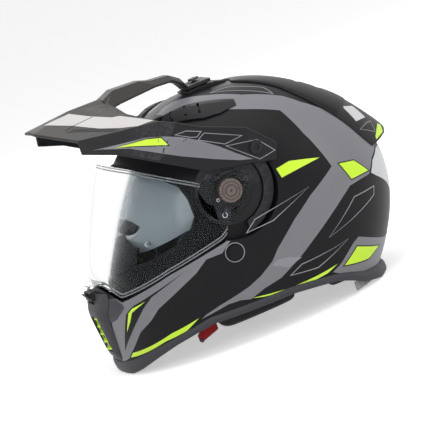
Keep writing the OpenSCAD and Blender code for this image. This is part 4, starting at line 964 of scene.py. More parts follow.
def build_rim_trim(cols=240):
    t = np.arange(cols) * 2 * np.pi / cols
    top, low = rim_level(t) - 0.1, trim_bottom(t)
    flare = TRIM_FLARE * np.maximum(0, -np.cos(t)) ** 3
    one = np.ones(cols)
    corners = [(1.2 * one, top), (3 + 0.6 * flare, 0.55 * top + 0.45 * low), (1.5 + flare, low),
               (flare - TRIM_T, low), ((1 - TRIM_T) * one, 0.5 * (top + low)), (-SHELL_T * one, top)]
    sections = rounded_sections(np.stack([trim_point(t, by, z) for by, z in corners], 1), 1.4)
    n = sections.shape[1]
    faces = [tuple(f) for f in quads(cols, n, wrap=True)]
    faces += [((cols - 1) * n + i, (cols - 1) * n + (i + 1) % n, (i + 1) % n, i) for i in range(n)]
    trim = make_piece("rim_moulding", sections.reshape(-1, 3), faces, None)
    placed(weighted(trim, 40), "panel", "helmet", "rim_trim")


def build_gasket():
    """Port rubber: a flat seat with a raised lip along its middle."""
    for name, near, far, stand, under in (("port_rubber", -0.1, -3.2, 0.8, SHELL_T + 2.5),
                                          ("port_rubber_lip", -1.1, -2.3, 1.7, SHELL_T)):
        band = solid(prism(port_outline(near), -FAR, FAR), name)
        boolean(band, solid(prism(port_outline(far), -FAR - 1, FAR + 1)))
        outer = solid(shell_form(-stand, 0))
        boolean(outer, shield_pocket(2, SHIELD_GAP - 0.2 - stand))
        boolean(outer, recess_tool(0))
        inner = solid(shell_form(under, HOLLOW_DROP))
        boolean(inner, shield_pocket(2 + under, SHIELD_GAP + under))
        boolean(inner, recess_tool(under))
        boolean(outer, inner)
        boolean(band, outer, "INTERSECT")
        placed(weighted(band, 50), "rubber", "helmet", "eyeport_gasket" if far < -3 else None)


# Vents, scoops and spoiler.
def front_skin(x, z, d=0.0):
    x, z = np.broadcast_arrays(np.asarray(x, float), np.asarray(z, float))
    y = MID_Y - reach_front(z) * ease(np.abs(x) / half_width(z), SKIN_POWER, SKIN_POWER)
    return inset(np.stack([x, y, z], -1), d)


def top_skin(x, y, d=0.0):
    x, y = np.broadcast_arrays(np.asarray(x, float), np.asarray(y, float))
    low, high = np.full(x.shape, WIDE_Z), np.full(x.shape, SHELL_H)
    for _ in range(34):
        mid = (low + high) / 2
        out = skin_field(np.stack([x, y, mid], -1)) > 0
        high, low = np.where(out, mid, high), np.where(out, low, mid)
    return inset(np.stack([x, y, low], -1), d)


SCOOP_IN = [(16, 56), (30, 46), (40, 34), (47, 20), (53, 8), (60, -10), (67, -28)]
SCOOP_OUT = [(24, 57), (44, 50), (60, 38), (70, 25), (78, 12), (80, -6), (76, -26)]
SCOOP_RISE = [0.8, 3.5, 5, 5.5, 5, 3, 0.6]
SCOOP_SLOTS, SCOOP_TRAVEL = 3, 6.0


def scoop_point(k, v, d):
    """Points of a crown scoop, k rows from its nose and v across it."""
    rows = np.arange(len(SCOOP_IN))
    inner = [np.interp(k, rows, np.array(SCOOP_IN)[:, c]) for c in (0, 1)]
    outer = [np.interp(k, rows, np.array(SCOOP_OUT)[:, c]) for c in (0, 1)]
    x, ahead = (i + (o - i) * v for i, o in zip(inner, outer))
    return top_skin(x, MID_Y - ahead, d)


def scoop_slider_room(grow, slack):
    place = scoop_point(np.array(0.9), 0.5, -4)
    way = scoop_point(np.array(1.0), 0.5, 0) - scoop_point(np.array(0.0), 0.5, 0)
    way /= np.linalg.norm(way)
    low = np.array([-4 - grow, -3 - grow, -1.6 - grow])
    pts, faces = cuboid(low, low + [8 + 2 * grow + slack, 6 + 2 * grow, 5 + grow])
    spin = (Matrix.Rotation(math.atan2(way[1], way[0]), 3, "Z") @ Matrix.Rotation(-math.asin(way[2]), 3, "Y"))
    return pts @ np.array(spin).T + place, faces


def build_scoops(rows=50, cols=26):
    k, v = np.broadcast_arrays(np.linspace(len(SCOOP_IN) - 1, 0, rows)[:, None],
                               np.linspace(1, 0, cols)[None, :])
    rise = catmull(np.array(SCOOP_RISE)[:, None], 12)[:, 0]
    rise = np.interp(k, np.arange(len(rise)) / 12, rise)
    # A ridge that runs out to the rear parts the louvred front from the smooth flank.
    ridge = np.clip(1 - np.abs(v - 0.42) / 0.58, 0, 1)
    arch = 0.72 * np.sin(np.pi * (0.12 + 0.76 * v)) + 0.38 * ridge
    base = scoop_point(k, v, 0)
    normal = skin_normal(base)
    top, foot = base + normal * (1.1 + rise * arch)[..., None], base + normal * 0.5
    for side in ("left", "right"):
        scoop = solid(slab(top, foot), f"scoop_moulding_{side}")
        for i in range(SCOOP_SLOTS):
            place = scoop_point(np.array(2.0 + i), 0.5, -3.4)
            boolean(scoop, solid(turned_block((17, 2.6, 5.6), (0, 38, -20), place)))
        boolean(scoop, solid(scoop_slider_room(0.3, SCOOP_TRAVEL)))
        if side == "right":
            mirror(scoop)
        placed(weighted(scoop, 30), "black", "helmet", f"scoop_{side}")


SPOILER_ROWS = [(244, 18, 1.5), (242, 25, 3), (237, 33, 3.6), (228, 45, 4), (215, 60, 4.5), (201, 70, 5.5),
                (186, 76, 8), (170, 78, 10), (152, 78, 14), (140, 75, 18), (131, 70, 21)]


def rear_normal(z):
    slope = reach_back(z - 0.5) - reach_back(z + 0.5)
    n = np.stack([np.zeros_like(z), np.ones_like(z), slope], -1)
    return n / np.linalg.norm(n, axis=-1, keepdims=True)


def build_spoiler(cols=61):
    rows = catmull(SPOILER_ROWS, 6)
    z, wide, stand = rows[:, :1], rows[:, 1:2], rows[:, 2:3]
    u = np.linspace(1, -1, cols)[None, :]
    reach = np.minimum(wide, half_width(z) * 0.97)
    power = np.where(stand > 9, 0.85, 0.35)
    rise = 1 + (stand - 1) * (1 - np.abs(u)) ** power
    foot = rear_skin(reach * u, z + 0 * u, -0.55)
    top = foot + rear_normal(z + 0 * u) * rise[..., None]
    spoiler = solid(slab(top[::-1], foot[::-1]), "spoiler_moulding")
    for k in (0, 1):
        vent = [(MID_Y + a + 17 * k, b - 15 * k) for a, b in ((104, 214), (112, 207), (124, 216), (116, 224))]
        boolean(spoiler, solid(prism(filleted(vent, 1.2), -24, 24)))
    placed(weighted(spoiler, 28), "spoiler", "helmet", "rear_spoiler")
    return spoiler


CHIN_ROWS = [(15.6, 16, 1.2), (23, 19, 4.4), (38, 24, 5.4), (58, 28, 6.6), (68, 30, 6.6), (75, 36, 4.6),
             (83, 41, 2.2), (90, 38, 2.6)]
CHIN_TRAVEL = 4.0


def build_chin_panel(cols=61):
    """Chin vent cover: a mouth for the fins, a crease down each cheek and a slot for its slider."""
    rows = catmull(CHIN_ROWS, 7)
    z, wide, stand = rows[:, :1], rows[:, 1:2], rows[:, 2:3]
    u = np.linspace(1, -1, cols)[None, :]
    crease = np.clip((np.abs(u) - 0.55) / 0.45, 0, 1)
    out = 1.1 + (stand - 0.8) * (1 - np.abs(u) ** 6) * (1 - 0.30 * crease)
    foot = front_skin(wide * u, z + 0 * u, -0.3)
    base = front_skin(wide * u, z + 0 * u, 0)
    top = base + (front_skin(wide * u, z + 0 * u, -1) - base) * out[..., None]
    panel = solid(slab(top[:, ::-1], foot[:, ::-1]), "chin_moulding")
    front = MID_Y - SHELL_FRONT
    boolean(panel, solid(cuboid((-12.3, front - 4.9, 83.7 - CHIN_TRAVEL), (12.3, front - 0.1, 93.3))))
    boolean(panel, solid(cuboid((-13, front - 10.5, 26), (13, front - 1.5, 66))))
    placed(weighted(panel, 30), "panel", "helmet", "chin_vent_panel")


def build_fins():
    """Bright grille in the mouth of the chin vent: a thin frame with five pointed blades."""
    low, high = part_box("chin_vent_fins")
    low, high = np.array(low) / MM, np.array(high) / MM
    half = min(high[0], 12.4)
    z = np.linspace(low[2] + 0.4, high[2] - 0.4, 40)[:, None]
    x = half * np.linspace(1, -1, 25)[None, :]
    back = front_skin(x, z + 0 * x, -1.2)
    stand = front_skin(x, z + 0 * x, -1) - front_skin(x, z + 0 * x, 0)
    frame_plate = solid(slab((back + stand * 2.2)[:, ::-1], back[:, ::-1]), "chin_grille")
    gaps = 4
    pitch = (high[2] - low[2] - 3.0) / gaps
    for k in range(gaps):
        z0 = low[2] + 1.5 + pitch * k + 1.6
        for side in (-1, 1):
            x0, x1 = sorted((side * 1.0, side * (half - 1.6)))
            boolean(frame_plate, solid(cuboid((x0, -FAR, z0), (x1, 0, z0 + pitch - 2.2))))
    for k in range(gaps + 1):
        z0 = low[2] + 1.5 + pitch * k
        tip = front_skin(np.array([0.0]), np.array([z0]), -6.6)[0]
        root = front_skin(np.array([0.0]), np.array([z0]), -1.6)[0]
        blade = [(half - 0.4, root[1]), (half * 0.55, 0.45 * root[1] + 0.55 * tip[1]), (0, tip[1]),
                 (-half * 0.55, 0.45 * root[1] + 0.55 * tip[1]), (-half + 0.4, root[1])]
        rows = [[(px, py, z0 + dz) for px, py in blade] for dz in (-0.9, 0.9)]
        pts = np.array(rows[0] + rows[1])
        n = len(blade)
        faces = [tuple(range(n)), tuple(range(2 * n - 1, n - 1, -1))]
        faces += [((i + 1) % n, i, n + i, n + (i + 1) % n) for i in range(n)]
        boolean(frame_plate, solid((pts, faces)), "UNION")
    placed(weighted(frame_plate, 30), "neon", "helmet", "chin_vent_fins")


# Peak.
PEAK_T, PEAK_HALF_W, PEAK_REACH, PEAK_LIFT, BUSH_R, MOUNT_H, FOOT_T = 3.2, 129.0, 173.0, 22.0, 6.5, 3.0, 4.0
MOUNT_SCREW_Y = MID_Y + 13.0


def at_peak(x, ahead, z):
    return (x, MID_Y - ahead, z)


TIP = at_peak(0, PEAK_REACH, SHELL_H + PEAK_LIFT)
TIP_SIDE = at_peak(20, PEAK_REACH - 1, SHELL_H + PEAK_LIFT - 2)
CORNER = at_peak(92, 147, SHELL_H + 6)
CORNER_LOW = at_peak(95, 148, SHELL_H - 6)
CREASE = at_peak(102, 109, SHELL_H + 1)
DECK_OUT = at_peak(110, 67, SHELL_H - 4)
DECK_IN = at_peak(30, 89, SHELL_H + 16)
DECK_MID = at_peak(62, 84, SHELL_H + 9)
MIDDLE_BACK = at_peak(0, 89, SHELL_H + 26)
MIDDLE_FRONT = at_peak(0, 127, SHELL_H + 26.5)
ARM = [at_peak(119, 52, 239), at_peak(125, 32, 227), at_peak(PEAK_HALF_W - 0.5, -12, 209),
       at_peak(PEAK_HALF_W, -36, 184), at_peak(PEAK_HALF_W, -30, 169), at_peak(PEAK_HALF_W, -3, 176),
       at_peak(PEAK_HALF_W - 0.5, 41, 185), at_peak(122, 83, 211), at_peak(110, 119, 233)]
PEAK_PANELS = [
    [TIP, TIP_SIDE, CORNER, MIDDLE_FRONT], [MIDDLE_FRONT, CORNER, DECK_MID],
    [MIDDLE_FRONT, MIDDLE_BACK, DECK_IN, DECK_MID], [CORNER, CREASE, DECK_MID], [CREASE, DECK_OUT, DECK_MID],
    [CORNER, CORNER_LOW, ARM[8], CREASE], [CREASE, ARM[8], ARM[7], DECK_OUT], [DECK_OUT, ARM[0], ARM[7]],
    [ARM[0], ARM[1], ARM[6], ARM[7]], [ARM[1], ARM[2], ARM[5], ARM[6]], [ARM[2], ARM[3], ARM[4], ARM[5]]]
BRIDGE = [(89, 26, 27, 16), (76, 31.5, 25, 17.5), (46, 30, 23, 19), (34, 26, 22, 19.5), (14, 24, 20, 18),
          (4, 17, 19, 11), (0, 9, 18, 4.5)]


def ball(r, rows=9, cols=16):
    a = np.linspace(0, np.pi, rows)[:, None]
    b = (np.arange(cols) * 2 * np.pi / cols)[None, :]
    return np.stack([np.sin(a) * np.cos(b), np.sin(a) * np.sin(b), np.cos(a) + 0 * b], -1).reshape(-1, 3) * r


def tight_skin(points, name="cutter"):
    """The convex solid round the points."""
    mesh = bmesh.new()
    for p in np.unique(np.round(points, 4), axis=0):
        mesh.verts.new(p * MM)
    made = bmesh.ops.convex_hull(mesh, input=mesh.verts)
    loose = [g for g in made["geom_interior"] if isinstance(g, bmesh.types.BMVert)]
    bmesh.ops.delete(mesh, geom=loose, context="VERTS")
    bmesh.ops.recalc_face_normals(mesh, faces=mesh.faces)
    data = bpy.data.meshes.new(name)
    mesh.to_mesh(data)
    mesh.free()
    piece = bpy.data.objects.new(name, data)
    bpy.context.scene.collection.objects.link(piece)
    return piece


def round_plate(corners, r):
    return tight_skin(np.concatenate([ball(r) + np.asarray(c) for c in corners]))


def build_peak():
    plates = []
    for corners in PEAK_PANELS:
        plates.append(corners)
        plates.append([(-x, y, z) for x, y, z in corners])
    peak = round_plate(plates[0], PEAK_T / 2)
    peak.name = "peak_moulding"
    for corners in plates[1:]:
        boolean(peak, round_plate(corners, PEAK_T / 2), "UNION")
    edge = 1.3
    for a, b in zip(BRIDGE, BRIDGE[1:]):
        corners = []
        for ahead, up, wide, low in (a, b):
            for s in (-1, 1):
                corners.append((s * (wide / 2 - edge), MID_Y - ahead, SHELL_H + up + 0.5 - edge))
                corners.append((s * (wide - edge), MID_Y - ahead, SHELL_H + low - 0.5 + edge))
        boolean(peak, round_plate(corners, edge), "UNION")
    foot_low, foot_high = SHELL_H + MOUNT_H + 1, SHELL_H + MOUNT_H + FOOT_T - 1
    foot = [(x, y, z) for x in (-17, 17) for y in (MID_Y, MID_Y + 25) for z in (foot_low, foot_high)]
    boolean(peak, round_plate(foot, 1.0), "UNION")
    bores = both_sides(prism(circle(SCREW_Y, SCREW_Z, BUSH_R), PEAK_HALF_W - 20, PEAK_HALF_W + 20))
    boolean(peak, solid(bores))
    for r, low in ((3.2, SHELL_H), (7.4, SHELL_H + MOUNT_H + FOOT_T)):
        slot = [(MOUNT_SCREW_Y - (7 if math.sin(a) < 0 else 0) + r * math.sin(a), r * math.cos(a))
                for a in np.linspace(0, 2 * np.pi, 40, endpoint=False)]
        pts, faces = prism(slot, low, SHELL_H + 40)
        boolean(peak, solid((pts[:, [2, 1, 0]], [tuple(f)[::-1] for f in faces])))
    weighted(peak, 50)
    placed(peak, "peak", "peak", "peak")
    peak.data.materials.append(FINISH["black"])
    for face in peak.data.polygons:
        sideways = abs(face.normal.x) > 0.6 and abs(face.center.x) > 0.08
        if sideways or face.normal.z < -0.25:
            face.material_index = 1
    return peak


# Corners of the peak's markings on its left half, on or near its faces.
PALE_DECK = [(9.3, -132.9, 276), (36.2, -119.1, 268.7), (59.6, -103.1, 262.1), (62.8, -95.4, 260.8),
             (104, -74, 248), (106, -92, 249), (95.5, -107.6, 253.8), (79.3, -123.6, 258.8), (52, -139, 266),
             (8.3, -162, 273.9)]
DECK_ARROW = [(58.4, -152.8, 264.7), (56.4, -144, 265.5), (89.1, -115.1, 255.8), (99.5, -110, 252.4),
              (98, -117, 252.7), (92.5, -121.8, 255.5)]
DECK_CREASE = [(39.5, -118, 267.8), (40.9, -118, 267.4), (51.5, -152, 266.4), (50.1, -152, 266.6)]
ARM_BAND = [(0, -144.2, 243.9), (0, -118, 240.5), (0, -90.9, 237.2), (0, -73.3, 231.8), (0, -59.2, 225.9),
            (0, -45.3, 217.6), (0, -26.6, 203.3), (0, -11.7, 189.8), (0, 3.3, 177.3), (0, -10.7, 181.6),
            (0, -34.8, 192.4), (0, -67, 208.3), (0, -110, 233), (0, -138, 242.6)]
ARM_NEON = [(0, -122.5, 238.4), (0, -107.9, 234.6), (0, -73.5, 222.8), (0, -76.6, 231.4), (0, -91.1, 235.4)]
ARM_QUAD_FRONT = [(0, -63, 229.5), (0, -51.2, 229.3), (0, -37.4, 223.4), (0, -43.3, 219.7), (0, -49.2, 221.6)]
ARM_QUAD_BACK = [(0, -35.1, 220.8), (0, 0.7, 204.1), (0, -19.1, 202.5), (0, -43.5, 216.5)]
ARM_DIAMOND = [(0, 14.1, 194.4), (0, 28, 177.2), (0, 9.8, 174.6), (0, -18.9, 200.3)]
SPOILER_WHITE = [(58.2, 134.6, 180.3), (35.9, 152, 173.4), (44, 158.5, 158), (67.1, 140.2, 161.4)]
SPOILER_LINE = [(56.1, 153.7, 154.1), (42, 163, 152), (55.4, 159.9, 141.3), (72.7, 139.7, 153)]
SPOILER_NEON = [(47.3, 164, 142), (30, 172, 144), (20, 176, 139), (36, 172, 134.5), (62, 156, 134.5),
                (60, 157, 138)]
TOP_DOWN, FROM_LEFT, FROM_BEHIND = (0, 0, 1), (1, 0, 0), (0.55, 0.75, 0.37)


class Projection:
    """Drawing plane thrown straight onto a finished piece."""
    reach = 1.0

    def __init__(self, piece, direction):
        self.axis = np.array(direction, float) / np.linalg.norm(direction)
        self.u = np.cross([0, 0, 1.0], self.axis) if abs(self.axis[2]) < 0.9 else np.array([1.0, 0, 0])
        self.u /= np.linalg.norm(self.u)
        self.v = np.cross(self.axis, self.u)
        mesh = piece.data
        self.tree = BVHTree.FromPolygons([v.co / MM for v in mesh.vertices],
                                         [tuple(p.vertices) for p in mesh.polygons])

    def flat(self, points):
        p = np.asarray(points, float)
        return np.column_stack([p @ self.u, p @ self.v])

    def surface(self, q):
        places, normals = [], []
        for a, b in q:
            start = Vector(self.u * a + self.v * b + self.axis * FAR)
            place, normal, _, _ = self.tree.ray_cast(start, Vector(-self.axis))
            if place is None:
                place, normal, _, _ = self.tree.find_nearest(start - Vector(self.axis) * (FAR - 100))
            places.append(place)
            normals.append(normal)
        return np.array(places), np.array(normals)


def decal(name, piece, direction, corners, finish, body, line=None, lift=0.12, step=3.0):
    """A painted patch or outline thrown onto a piece along a direction, on both sides."""
    plane = Projection(piece, direction)
    outline = fixed_turn(plane.flat(corners))
    holes = []
    if line:
        outline, holes = grown(outline, line / 2), [grown(outline, -line / 2)]
    pts, faces = paint_patch(plane, outline, holes, step, lift)
    patch = make_piece(name, *both_sides((pts, faces)), FINISH[finish], 40)
    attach(patch, body)
    return patch


def paint_peak(peak):
    decal("peak_pale_deck", peak, TOP_DOWN, PALE_DECK, "pale_deck", "peak")
    decal("peak_deck_arrow", peak, TOP_DOWN, DECK_ARROW, "deep", "peak", lift=0.16)
    decal("peak_deck_crease", peak, TOP_DOWN, DECK_CREASE, "deep", "peak", lift=0.2)
    decal("peak_arm_band", peak, FROM_LEFT, ARM_BAND, "swoosh", "peak", lift=0.1)
    decal("peak_neon_edge", peak, FROM_LEFT, ringed(ARM_NEON, 1.0), "black", "peak", lift=0.16)
    decal("peak_neon", peak, FROM_LEFT, ARM_NEON, "neon", "peak", lift=0.22)
    for name, corners in (("peak_front_line", ARM_QUAD_FRONT), ("peak_back_line", ARM_QUAD_BACK),
                          ("peak_diamond_line", ARM_DIAMOND)):
        decal(name, peak, FROM_LEFT, corners, "line", "peak", line=0.7, lift=0.16)


def ringed(corners, margin):
    """Side-view corners grown by a margin."""
    flat = grown(fixed_turn(np.array([(y, z) for _, y, z in corners])), margin)
    return [(0, y, z) for y, z in flat]


def paint_spoiler(spoiler):
    decal("spoiler_pale", spoiler, FROM_BEHIND, SPOILER_WHITE, "white", "helmet")
    decal("spoiler_line", spoiler, FROM_BEHIND, SPOILER_LINE, "line", "helmet", line=0.7, lift=0.16)
    decal("spoiler_neon", spoiler, FROM_BEHIND, SPOILER_NEON, "neon", "helmet", lift=0.16)


# Soft pieces.
PAD_VOXEL_MM, PAD_FRAMES, PAD_PRESSURE = 5.0, 20, 4.0
# Node, piece name, how far it starts inside the solid, how far it may swell, fill, finish.
PADS = [("cheek_pad_left", "cheek_cushion_left", 2.4, 2.4, 0.7, "liner"),
        ("crown_pad", "crown_cushion", 1.4, 1.6, 0.45, "crown_liner"),
        ("neck_roll", "neck_cushion", 1.8, 1.8, 0.75, "liner")]


def coordinates(mesh):
    return read_vectors(mesh.vertices, "co")


def vertex_normals(mesh):
    return read_vectors(mesh.vertex_normals, "vector")


def move_to(mesh, co):
    mesh.vertices.foreach_set("co", co.astype(np.float32).ravel())
    mesh.update()


def pad_start(node, name, margin):
    """A remeshed copy of a pad's solid, drawn in by a margin."""
    source = NODES[node]
    mesh = source.data.copy()
    mesh.transform(source.matrix_world)
    pad = bpy.data.objects.new(name, mesh)
    bpy.context.scene.collection.objects.link(pad)
    tool = pad.modifiers.new("even", "REMESH")
    tool.mode, tool.voxel_size = "VOXEL", PAD_VOXEL_MM * MM
    bake(pad)
    co, normals = coordinates(pad.data), vertex_normals(pad.data)
    move_to(pad.data, co - normals * margin * MM)
    return pad


def puff(pads):
    """Swells the pads as stitched cloth, with a cap on how far a point may move."""
    starts = [coordinates(p.data) for p, _ in pads]
    for pad, _ in pads:
        cloth = pad.modifiers.new("puff", "CLOTH")
        cloth.settings.use_pressure = True
        cloth.settings.uniform_pressure_force = PAD_PRESSURE
        cloth.settings.effector_weights.gravity = 0.0
        cloth.point_cache.frame_start, cloth.point_cache.frame_end = 1, PAD_FRAMES
    scene = bpy.context.scene
    for frame in range(1, PAD_FRAMES + 1):
        scene.frame_set(frame)
    graph = bpy.context.evaluated_depsgraph_get()
    ends = [coordinates(p.evaluated_get(graph).data) for p, _ in pads]
    for (pad, cap), start, end in zip(pads, starts, ends):
        pad.modifiers.clear()
        move = np.nan_to_num(end - start)
        length = np.linalg.norm(move, axis=1, keepdims=True)
        move_to(pad.data, start + move * np.minimum(1, cap * MM / np.maximum(length, 1e-9)))
    scene.frame_set(1)


def press_channels(pad, distances, depth=1.6, width=1.6):
    """Sewn channels: the cloth is drawn in near where a distance, in mm, is 0."""
    co, normals = coordinates(pad.data), vertex_normals(pad.data)
    pull = np.zeros(len(co))
    for distance in distances:
        pull = np.maximum(pull, np.exp(-(distance(co / MM) / width) ** 2))
    move_to(pad.data, co - normals * (pull * depth * MM)[:, None])


def cheek_channels():
    mid = MID_Y - 30
    return [lambda p: np.where(p[:, 0] < 70, p[:, 2] - 62 - 0.004 * (p[:, 1] - mid) ** 2, 99),
            lambda p: np.where(p[:, 0] < 70, p[:, 2] - 90 + 0.004 * (p[:, 1] - mid) ** 2, 99),
            lambda p: np.where(p[:, 0] < 72, p[:, 2] - 28, 99)]


def crown_channels():
    return [lambda p: np.abs(p[:, 0]) - 26, lambda p: p[:, 1] - 20,
            lambda p: np.where(p[:, 2] < 170, p[:, 2] - 138, 99)]


def neck_channels():
    def spoke(turn):
        a = math.radians(turn)
        return lambda p: (p[:, 0] * math.cos(a) + (p[:, 1] - MID_Y) * math.sin(a))
    return [spoke(a) for a in (0, 24, -24, 48, -48)]


def build_pads():
    pads = {}
    for node, name, margin, *_ in PADS:
        pads[node] = pad_start(node, name, margin)
    puff([(pads[row[0]], row[3]) for row in PADS])
    channels = {"cheek_pad_left": cheek_channels(), "crown_pad": crown_channels(),
                "neck_roll": neck_channels()}
    for node, *_, fill, finish in PADS:
        pad = pads[node]
        tool = pad.modifiers.new("fine", "SUBSURF")
        tool.levels = tool.render_levels = 1
        bake(pad)
        press_channels(pad, channels[node], 1.2 if node == "crown_pad" else 1.6)
        pad.data.shade_smooth()
        pad.data.materials.clear()
        pad.data.materials.append(FINISH[finish])
        dress_pad(pad, node)
        if node == "cheek_pad_left":
            dress_pad(mirrored_copy(pad, "cheek_cushion_right"), "cheek_pad_right")


def dress_pad(pad, node):
    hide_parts(node)
    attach(pad, "helmet")


def build_chin_curtain(rows=26, cols=90):
    """Thin stretched curtain under the chin, with an elastic hem along its free edge."""
    t = np.radians(np.linspace(-26, 26, cols))
    outer = trim_point(t, -TRIM_T - 0.2, trim_bottom(t) + 5)
    inner = np.column_stack([outer[:, 0] * 0.86, outer[:, 1] + (MID_Y - 112 - outer[:, 1]) * 0.62,
                             outer[:, 2] + 3])
    v = np.linspace(0, 1, rows)[:, None, None]
    grid = outer[None] * (1 - v) + inner[None] * v
    across = np.linspace(0, 1, cols)[None, :]
    down = v[..., 0]
    folds = 0.35 * np.sin(across * 2 * np.pi * 9 + 1.3 * np.sin(across * 12)) * down ** 1.5
    grid[..., 2] += -0.7 - 0.9 * np.sin(np.pi * down) + folds
    curtain = make_piece("chin_cloth", grid.reshape(-1, 3), quads(rows, cols, flip=True), None, 60)
    tool = curtain.modifiers.new("thick", "SOLIDIFY")
    tool.thickness, tool.offset = 0.0007, 0.0
    bake(curtain)
    placed(curtain, "liner", "helmet", "chin_curtain")
    edge = grid[-1] + [0, 0, 0.2]
    hem = tube("chin_cloth_hem", edge, 1.1, "webbing")
    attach(hem, "helmet")


def tube(name, path, r, finish, sides=12):
    """A round cord along a path."""
    path = np.asarray(path, float)
    way = np.gradient(path, axis=0)
    way /= np.linalg.norm(way, axis=1, keepdims=True)
    side = np.cross(way, [0, 0, 1.0])
    side /= np.maximum(np.linalg.norm(side, axis=1, keepdims=True), 1e-6)
    lift = np.cross(side, way)
    a = np.arange(sides) * 2 * np.pi / sides
    cos, sin = np.cos(a)[None, :, None], np.sin(a)[None, :, None]
    rings = path[:, None] + r * (side[:, None] * cos + lift[:, None] * sin)
    piece = make_piece(name, *ring_solid(rings), FINISH[finish], 50)
    return piece


def add_dash(dashes, faces, half, turn, centre):
    """Adds one stitch, a small block turned into place, to a list of points and faces."""
    pts, block = cuboid([-c for c in half], half)
    faces += [tuple(len(dashes) + i for i in f) for f in block]
    dashes += (pts @ turn.T + centre).tolist()


STRAP_W, STRAP_T, CHEEK_X, BUCKLE_Z = 22.0, 2.0, 84.0, 30.0
STRAP_ENDS = {"left": 20.0, "right": 41.6}


def strap_path(end):
    skin_x = float(side_skin(RIVET_Y, RIVET_Z)[0])
    run = 19 if end < 30 else 12
    return [(skin_x - 10, RIVET_Z + 5), (skin_x - 10, RIVET_Z - 10), (CHEEK_X + 16, RIVET_Z - 18),
            (CHEEK_X + 3.4, RIVET_Z - 24), (CHEEK_X + 3, 58), (CHEEK_X - 4, 46), (CHEEK_X - 16, BUCKLE_Z + 5),
            (end + run, BUCKLE_Z), (end, BUCKLE_Z)]


def build_straps():
    """Webbing with a thick woven edge, and a line of stitches along each edge."""
    for side, end in STRAP_ENDS.items():
        path = catmull(strap_path(end), 12)
        way = np.gradient(path, axis=0)
        way /= np.linalg.norm(way, axis=1, keepdims=True)
        out = np.column_stack([-way[:, 1], way[:, 0]])
        across = np.concatenate([np.linspace(-1, 1, 21), np.linspace(1, -1, 21)])
        face = np.concatenate([np.ones(21), -np.ones(21)])
        bulge = 0.5 * STRAP_T * np.where(np.abs(across) > 0.82, 1.0, 0.86) * np.sqrt(
            np.clip(1 - np.clip((np.abs(across) - 0.94) / 0.06, 0, 1) ** 2 * 0.9, 0, 1))
        rings = np.zeros((len(path), len(across), 3))
        rings[..., 0] = path[:, None, 0] + out[:, None, 0] * (face * bulge)[None]
        rings[..., 2] = path[:, None, 1] + out[:, None, 1] * (face * bulge)[None]
        rings[..., 1] = RIVET_Y + across[None] * STRAP_W / 2
        strap = make_piece(f"webbing_{side}", *ring_solid(rings), None, 50)
        dashes, faces = [], []
        places = np.arange(4, len(path) - 16, 3)
        for edge in (-0.7, 0.7):
            for k in places:
                for sign in (-1, 1):
                    x, z = path[k] + out[k] * sign * STRAP_T * 0.45
                    turn = np.array([[way[k, 0], 0, out[k, 0]], [0, 1, 0], [way[k, 1], 0, out[k, 1]]])
                    add_dash(dashes, faces, (0.9, 0.35, 0.22), turn, [x, RIVET_Y + edge * STRAP_W / 2, z])
        stitches = make_piece(f"webbing_stitches_{side}", dashes, faces, None, 20)
        for piece, finish in ((strap, "webbing"), (stitches, "thread")):
            if side == "right":
                mirror(piece)
            placed(piece, finish, "helmet", f"strap_{side}" if piece is strap else None)


def build_release_tabs():
    """Blank red pull tabs, each with a stitched border and a snap stud."""
    y, z = MID_Y - 30 - 47 - 0.3 - 23, 13.0
    outline = filleted([(y, z), (y + 23, z + 7), (y + 23, z + 15), (y + 4, z + 12), (y, z + 9)], 2.2, 10)
    pts, faces = prism(stepped(outline, 1.5), 85, 86.8)
    tab = make_piece("pull_tabs", *both_sides((pts, faces)), None, 50)
    placed(weighted(tab, 50), "red_fabric", "helmet", "release_tabs")
    inner = stepped(grown(outline, -1.4), 1.0)
    dashes, dash_faces = [], []
    for k in range(0, len(inner) - 1, 3):
        a, b = inner[k], inner[k + 1]
        way = (b - a) / np.linalg.norm(b - a)
        turn = np.array([[1, 0, 0], [0, way[0], -way[1]], [0, way[1], way[0]]])
        add_dash(dashes, dash_faces, (0.15, 0.8, 0.2), turn, [86.85, *(a + b) / 2])
    stitches = make_piece("pull_tab_stitches", *both_sides((np.array(dashes), dash_faces)), None, 20)
    placed(stitches, "thread", "helmet")
    rings = [ring_at(x, y + 2.5, z + 2.5, r, 32)
             for x, r in ((83.8, 1.6), (84.0, 2.2), (87.2, 2.2), (87.8, 1.9), (88.0, 1.2))]
    stud = make_piece("pull_tab_studs", *both_sides(ring_solid(np.array(rings))), None, 40)
    placed(stud, "dark_steel", "helmet")


def build_neck_tab(rows=12, cols=40):
    """Plain reflective tabs at the nape, with a raised hem."""
    t = np.radians(np.linspace(120, 142, cols))[None, :]
    z = np.linspace(1.6, 11, rows)[:, None]
    edge = np.minimum(np.minimum(z - 1.6, 11 - z), 2.0) / 2.0
    side = np.minimum(np.minimum(t - t.min(), t.max() - t), math.radians(0.9)) / math.radians(0.9)
    stand = np.where(np.minimum(edge, side) < 1, 1.2, 0.85)
    flat_t, flat_z = np.broadcast_arrays(t, z)
    near = trim_point(flat_t, np.full(flat_t.shape, -TRIM_T - 0.3), flat_z)
    far = near + (trim_point(flat_t, np.full(flat_t.shape, -TRIM_T - 1.3), flat_z) - near) * stand[..., None]
    tab = make_piece("nape_tabs", *both_sides(slab(near, far)), None, 50)
    placed(tab, "silver_fabric", "helmet", "neck_tab")


